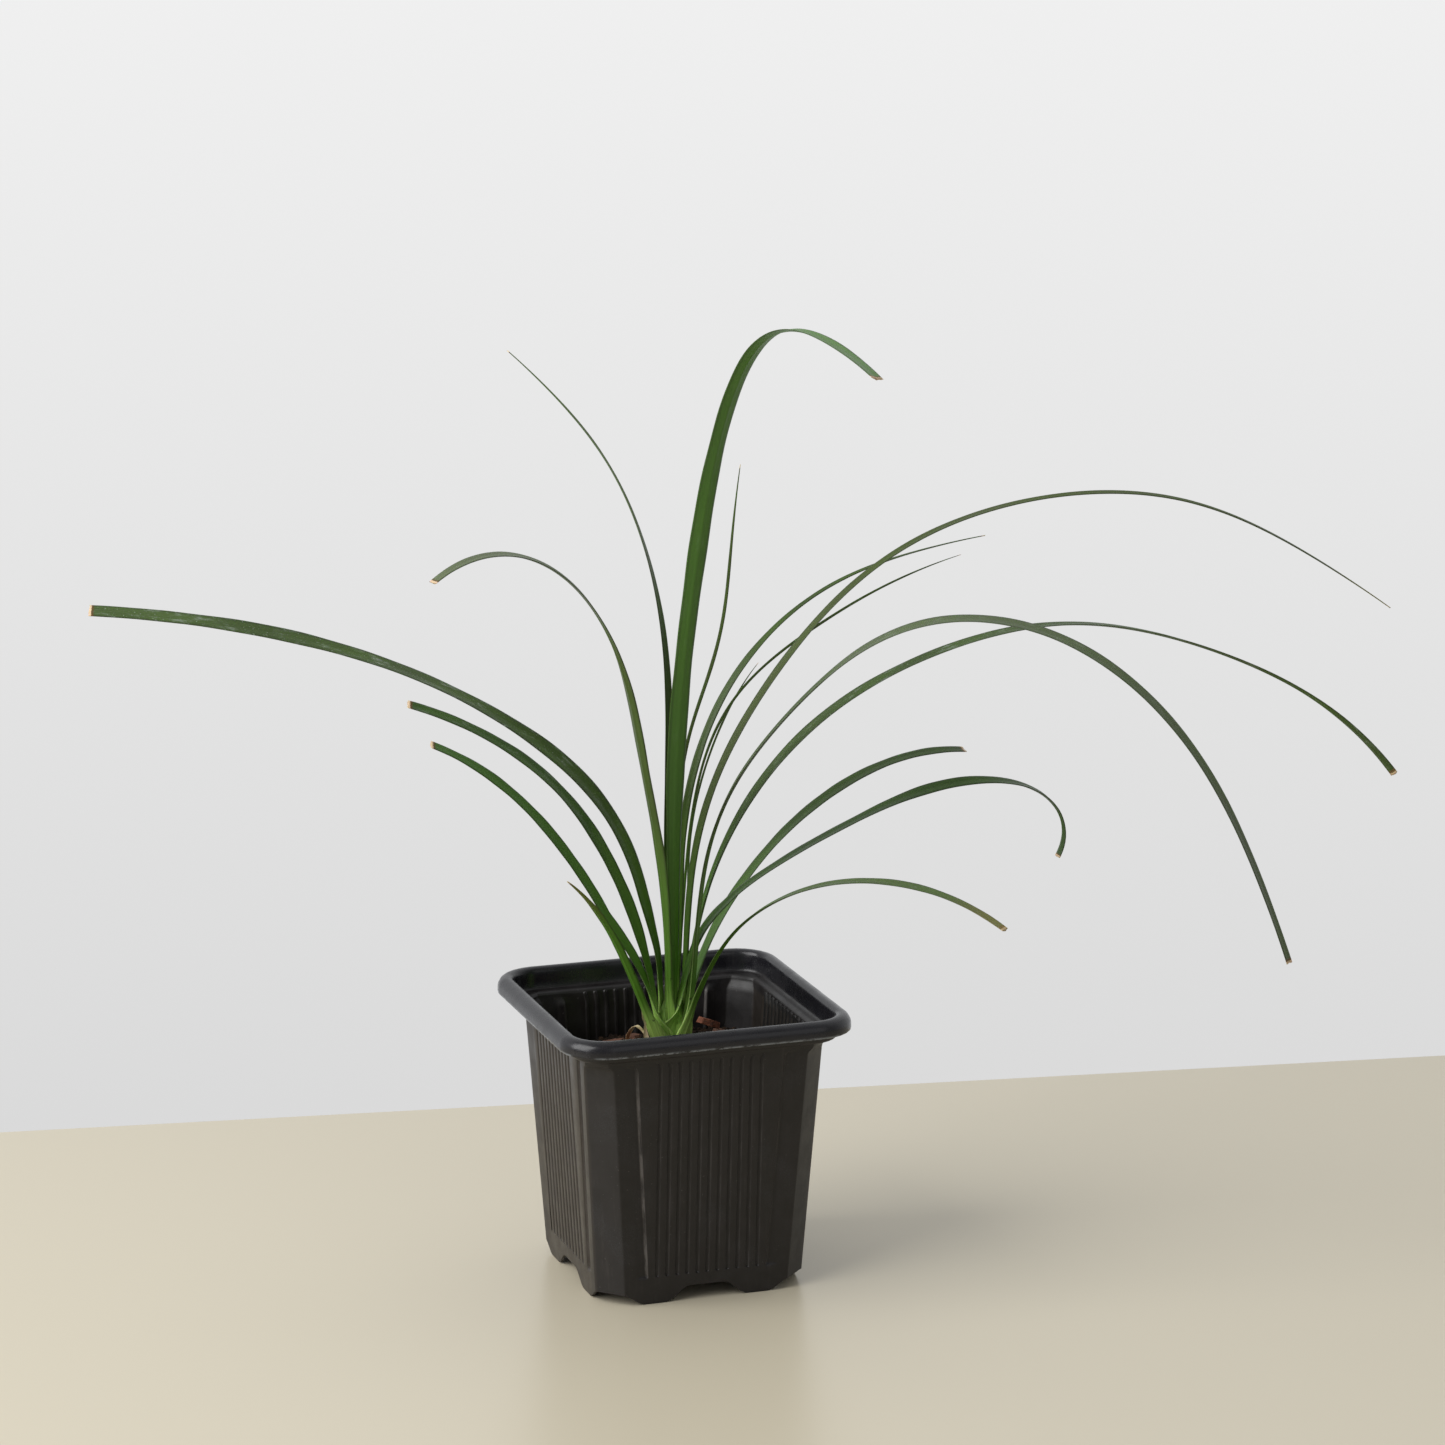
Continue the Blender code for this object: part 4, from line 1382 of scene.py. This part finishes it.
def make_crown_piece(settings):
    """The crown under the clasping bases, slightly lobed."""
    profile = [(1.5, 50.3), (4.5, 52.5), (7.6, 57.5), (9.0, 64), (8.9, 70)]
    upper = (8.4, 7.9, 7.0, 6.2, 5.6, 4.9, 3.9, 2.4, 1.0)
    for i in range(37):
        share = i / 36
        profile.append((smooth(upper, share), 73.0 + 23.0 * share))
    rings = []
    count = 150
    for radius, z in profile:
        ring = []
        for i in range(count):
            turn = i / count
            overlap = (SHEATH_COUNT * turn + 0.035 * (z - 73.0) + 0.35) % 1.0
            step = overlap**0.7 * (1 - ease(0.93, 1.0, overlap))
            out = radius * (0.93 + 0.13 * step * ease(72, 76, z))
            angle = turn * 2 * math.pi
            spot = Vector((out * math.cos(angle), out * math.sin(angle), z))
            ring.append(AXIS + spot * MM)
        rings.append(ring)
    bm = bmesh.new()
    loft(bm, rings)
    crown = finish_mesh("crown", bm, 80)
    crown.data.materials.append(crown_material(settings))
    return crown


# ---------------------------------------------------------------- dried sheath and chips


def make_strip(name, path, across, halves, thick, bleached, finish):
    """A thin bent strip with uneven edges. Its colour fades along it, from bleached to 1."""
    bm = bmesh.new()
    across_layer = bm.verts.layers.float.new("across")
    share_layer = bm.verts.layers.float.new("share")
    columns = (-1.0, -0.85, -0.5, 0.0, 0.5, 0.85, 1.0)
    rows = 28
    loops = []
    for i in range(rows + 1):
        share = i / rows
        place = Vector([smooth([p[k] for p in path], share) for k in range(3)])
        ahead = Vector([smooth([p[k] for p in path], min(1, share + 0.02)) for k in range(3)])
        behind = Vector([smooth([p[k] for p in path], max(0, share - 0.02)) for k in range(3)])
        along = (ahead - behind).normalized()
        side = (across - along * across.dot(along)).normalized()
        up = side.cross(along).normalized()
        half = smooth(halves, share)
        loop = []
        for sign in (1, -1):
            row = columns if sign > 0 else columns[::-1]
            for c in row:
                frayed = 1 + 0.16 * noise.noise(Vector((share * 9, c * 3, 1.7)))
                cup = 0.35 * half * c * c
                lift = cup + sign * thick / 2 * (1 - 0.8 * abs(c))
                spot = place + side * (c * half * frayed) + up * lift
                vert = bm.verts.new(AXIS + spot * MM)
                vert[across_layer] = c
                vert[share_layer] = bleached + (1 - bleached) * share
                loop.append(vert)
        loops.append(loop)
    count = len(loops[0])
    for lower, upper in zip(loops, loops[1:]):
        for i in range(count):
            j = (i + 1) % count
            bm.faces.new((lower[i], lower[j], upper[j], upper[i]))
    bm.faces.new(loops[0][::-1])
    bm.faces.new(loops[-1])
    strip = finish_mesh(name, bm, 60)
    strip.data.materials.append(finish)
    return strip


def make_dried_pieces():
    """The curled dried sheath beside the crown, and the torn skin on the lowest blade's edge."""
    finish = husk_material()
    path = (
        (-17.4, -2.6, 73.4),
        (-17.2, -3.0, 77.0),
        (-17.0, -3.0, 80.2),
        (-16.5, -3.0, 83.2),
        (-15.0, -3.0, 85.4),
        (-13.2, -3.0, 85.8),
        (-11.6, -3.4, 84.4),
        (-10.3, -3.8, 82.2),
        (-9.0, -4.6, 80.4),
        (-7.0, -6.0, 79.6),
    )
    halves = (0.6, 0.9, 0.95, 0.9, 0.8, 0.8, 0.5, 0.38, 0.6, 0.9)
    sheath = make_strip("dried_curl", path, Vector((0.92, 0.38, 0)), halves, 0.25, 0.0, finish)
    place_piece(sheath, "dried_sheath", "dried_sheath")
    path = (
        (-8.0, -7.0, 79.4),
        (-10.4, -5.6, 80.9),
        (-11.2, -5.3, 84.0),
        (-11.3, -5.4, 87.0),
        (-12.0, -5.6, 90.0),
        (-12.4, -5.8, 92.6),
    )
    halves = (0.7, 1.0, 0.75, 0.35, 0.6, 0.1)
    skin = make_strip("torn_skin", path, Vector((0.92, 0.2, 0.1)), halves, 0.18, 0.5, finish)
    place_piece(skin, "dried_sheath")


def make_chips(settings):
    """Bark chips: layered, broken plates in place of each CAD chip."""
    finish = bark_material(settings)
    for number, (node, (warp, red, grow, *shift)) in enumerate(CHIP_LOOKS.items(), 1):
        shift = Vector(shift)
        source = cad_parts[node]
        bm = bmesh.new()
        bm.from_mesh(source.data)
        bmesh.ops.remove_doubles(bm, verts=bm.verts, dist=1e-6)
        bmesh.ops.triangulate(bm, faces=bm.faces)
        for _ in range(3):
            bmesh.ops.subdivide_edges(bm, edges=bm.edges, cuts=1, use_grid_fill=True)
        bmesh.ops.triangulate(bm, faces=bm.faces)
        centre = sum((v.co for v in bm.verts), Vector()) / len(bm.verts)
        seed = Vector((number * 5.1, number * 2.3, 0))
        bm.normal_update()
        moves = []
        for vert in bm.verts:
            spot = vert.co / MM
            coarse = noise.noise(spot * 0.35 + seed) * 0.9
            flake = noise.noise(Vector((spot.x * 0.8, spot.y * 0.8, spot.z * 3.0)) + seed) * 0.35
            away = (vert.co - centre).normalized()
            moves.append((vert, (away * coarse * 0.6 + vert.normal * flake) * warp * MM))
        for vert, move in moves:
            vert.co += move
        away = centre - AXIS
        drop = (soil_height(away.x / MM, away.y / MM) - 73.2) * MM
        for vert in bm.verts:
            vert.co = centre + (vert.co - centre) * grow + Vector((0, 0, drop)) + shift * MM
        layer = bm.verts.layers.float.new("red")
        for vert in bm.verts:
            vert[layer] = red
        chip = finish_mesh(f"chip_{number:02d}", bm, 30)
        chip.data.materials.append(finish)
        place_piece(chip, "bark", node)


# ---------------------------------------------------------------- stage


def make_stage(settings):
    """Table top, soft light and camera."""
    start = AXIS + TABLE_EDGE[0]
    end = AXIS + TABLE_EDGE[1]
    along = (end - start).normalized()
    toward = Vector((along.y, -along.x, 0))
    middle = (start + end) / 2
    corners = []
    for sideways, forward in ((-3.0, 0.0), (3.0, 0.0), (3.0, 4.5), (-3.0, 4.5)):
        corners.append(middle + along * sideways + toward * forward)
    bm = bmesh.new()
    top = [bm.verts.new(c - Vector((0, 0, 0.0002))) for c in corners]
    bottom = [bm.verts.new(c - Vector((0, 0, 0.03))) for c in corners]
    bm.faces.new(top)
    bm.faces.new(bottom[::-1])
    for i in range(4):
        j = (i + 1) % 4
        bm.faces.new((top[i], top[j], bottom[j], bottom[i]))
    table = finish_mesh("table_top", bm)
    made, tree, shader = new_material("table_laminate")
    shader.inputs["Base Color"].default_value = (*settings.table_colour, 1.0)
    shader.inputs["Roughness"].default_value = 0.30
    shader.inputs["Specular IOR Level"].default_value = 0.4
    table.data.materials.append(made)

    scene = bpy.context.scene
    world = bpy.data.worlds.new("room")
    world.use_nodes = True
    scene.world = world
    tree = world.node_tree
    toward = add_node(tree, "ShaderNodeTexCoord").outputs["Generated"]
    behind = add_node(
        tree,
        "ShaderNodeVectorMath",
        {0: toward, 1: tuple(-FORWARDS)},
        operation="DOT_PRODUCT",
    ).outputs["Value"]
    glow = span(tree, behind, -0.5, 0.6, 0.26, 0.85)
    back = tree.nodes["Background"]
    back.inputs["Color"].default_value = (0.97, 0.985, 1.0, 1.0)
    tree.links.new(glow, back.inputs["Strength"])
    height = add_node(tree, "ShaderNodeSeparateXYZ", {"Vector": toward}).outputs[2]
    shade = span(tree, height, -0.30, -0.08, 0.70, 0.87, kind="LINEAR")
    wall = add_node(
        tree, "ShaderNodeBackground", {"Color": (1.0, 1.0, 1.0, 1.0), "Strength": shade}
    )
    seen = add_node(tree, "ShaderNodeLightPath").outputs["Is Camera Ray"]
    blend = add_node(tree, "ShaderNodeMixShader", {0: seen, 1: back.outputs[0], 2: wall.outputs[0]})
    tree.links.new(blend.outputs[0], tree.nodes["World Output"].inputs["Surface"])
    scene.view_settings.view_transform = "Standard"

    turn = Matrix.Rotation(math.radians(CAMERA_TURN), 3, "Z")
    lights = (
        ("key_light", Vector((-1.30, -0.70, 1.10)), 1.6, settings.key_power),
        ("fill_light", Vector((0.9, -1.2, 0.9)), 1.2, settings.key_power * 0.05),
    )
    for name, offset, size, power in lights:
        lamp = bpy.data.lights.new(name, "AREA")
        lamp.shape = "SQUARE"
        lamp.size = size
        lamp.energy = power
        holder = bpy.data.objects.new(name, lamp)
        holder.location = AXIS + turn @ offset
        aim = AXIS + Vector((0, 0, 0.12)) - holder.location
        holder.rotation_euler = aim.to_track_quat("-Z", "Y").to_euler()
        scene.collection.objects.link(holder)

    camera = bpy.data.cameras.new("camera")
    camera.sensor_width = 36.0
    camera.lens = CAMERA_LENS
    camera.clip_end = 20.0
    holder = bpy.data.objects.new("camera", camera)
    holder.location = AXIS + CAMERA_PLACE
    holder.rotation_euler = (
        math.radians(90 - CAMERA_TILT),
        0,
        math.radians(CAMERA_TURN),
    )
    scene.collection.objects.link(holder)
    scene.camera = holder


# ---------------------------------------------------------------- operators


class PALM_OT_pot(bpy.types.Operator):
    """Make the ribbed, tapered nursery pot"""

    bl_idname = "palm.pot"
    bl_label = "Make Pot"

    def execute(self, context):
        pot = make_pot_piece(context.scene.palm_pot)
        place_piece(pot, "pot_plastic", "pot")
        return {"FINISHED"}


class PALM_OT_soil(bpy.types.Operator):
    """Fill the pot with soil and scatter crumbs on it"""

    bl_idname = "palm.soil"
    bl_label = "Fill With Soil"

    def execute(self, context):
        settings = context.scene.palm_soil
        soil = make_soil_piece(settings)
        crumbs = grown_from(
            "soil_crumbs",
            soil,
            crumb_tree(),
            {
                "Count": settings.crumb_count,
                "Largest": settings.crumb_size,
                "Smallest": settings.crumb_size * 0.22,
                "Seed": 4,
                "Finish": soil_material(settings, "soil_crumb", 1.1),
            },
        )
        place_piece(soil, "soil", "potting_soil")
        place_piece(crumbs, "soil")
        return {"FINISHED"}


class PALM_OT_chips(bpy.types.Operator):
    """Lay the bark chips on the soil"""

    bl_idname = "palm.chips"
    bl_label = "Lay Bark Chips"

    def execute(self, context):
        make_chips(context.scene.palm_soil)
        return {"FINISHED"}


class PALM_OT_crown(bpy.types.Operator):
    """Make the root crown"""

    bl_idname = "palm.crown"
    bl_label = "Make Crown"

    def execute(self, context):
        crown = make_crown_piece(context.scene.palm_leaf)
        place_piece(crown, "crown", "root_crown")
        return {"FINISHED"}


class PALM_OT_leaves(bpy.types.Operator):
    """Grow every blade from the crown"""

    bl_idname = "palm.leaves"
    bl_label = "Grow Leaves"

    def execute(self, context):
        make_blades(context.scene.palm_leaf)
        return {"FINISHED"}


class PALM_OT_dried_sheath(bpy.types.Operator):
    """Add the dried sheath beside the crown"""

    bl_idname = "palm.dried_sheath"
    bl_label = "Add Dried Sheath"

    def execute(self, context):
        make_dried_pieces()
        return {"FINISHED"}


class PALM_OT_stage(bpy.types.Operator):
    """Set the table, the light and the camera"""

    bl_idname = "palm.stage"
    bl_label = "Set Stage"

    def execute(self, context):
        make_stage(context.scene.palm_stage)
        return {"FINISHED"}


OPERATORS = (
    PALM_OT_pot,
    PALM_OT_soil,
    PALM_OT_chips,
    PALM_OT_crown,
    PALM_OT_leaves,
    PALM_OT_dried_sheath,
    PALM_OT_stage,
)


class PALM_PT_panel(bpy.types.Panel):
    """The palm's steps and settings"""

    bl_idname = "PALM_PT_panel"
    bl_label = "Potted Ponytail Palm"
    bl_space_type = "VIEW_3D"
    bl_region_type = "UI"
    bl_category = "Palm"

    def draw(self, context):
        scene = context.scene
        for operator in OPERATORS:
            self.layout.operator(operator.bl_idname)
        for group in (scene.palm_pot, scene.palm_soil, scene.palm_leaf, scene.palm_stage):
            box = self.layout.box()
            for name in group.__annotations__:
                box.prop(group, name)


GROUPS = {
    "palm_pot": PotSettings,
    "palm_soil": SoilSettings,
    "palm_leaf": LeafSettings,
    "palm_stage": StageSettings,
}


def register():
    for name, group in GROUPS.items():
        bpy.utils.register_class(group)
        setattr(bpy.types.Scene, name, PointerProperty(type=group))
    for operator in OPERATORS:
        bpy.utils.register_class(operator)
    bpy.utils.register_class(PALM_PT_panel)


def unregister():
    bpy.utils.unregister_class(PALM_PT_panel)
    for operator in reversed(OPERATORS):
        bpy.utils.unregister_class(operator)
    for name, group in GROUPS.items():
        delattr(bpy.types.Scene, name)
        bpy.utils.unregister_class(group)


def main():
    register()
    bpy.ops.palm.stage()
    bpy.ops.palm.pot()
    bpy.ops.palm.soil()
    bpy.ops.palm.chips()
    bpy.ops.palm.crown()
    bpy.ops.palm.leaves()
    bpy.ops.palm.dried_sheath()


if __name__ == "__main__":
    main()
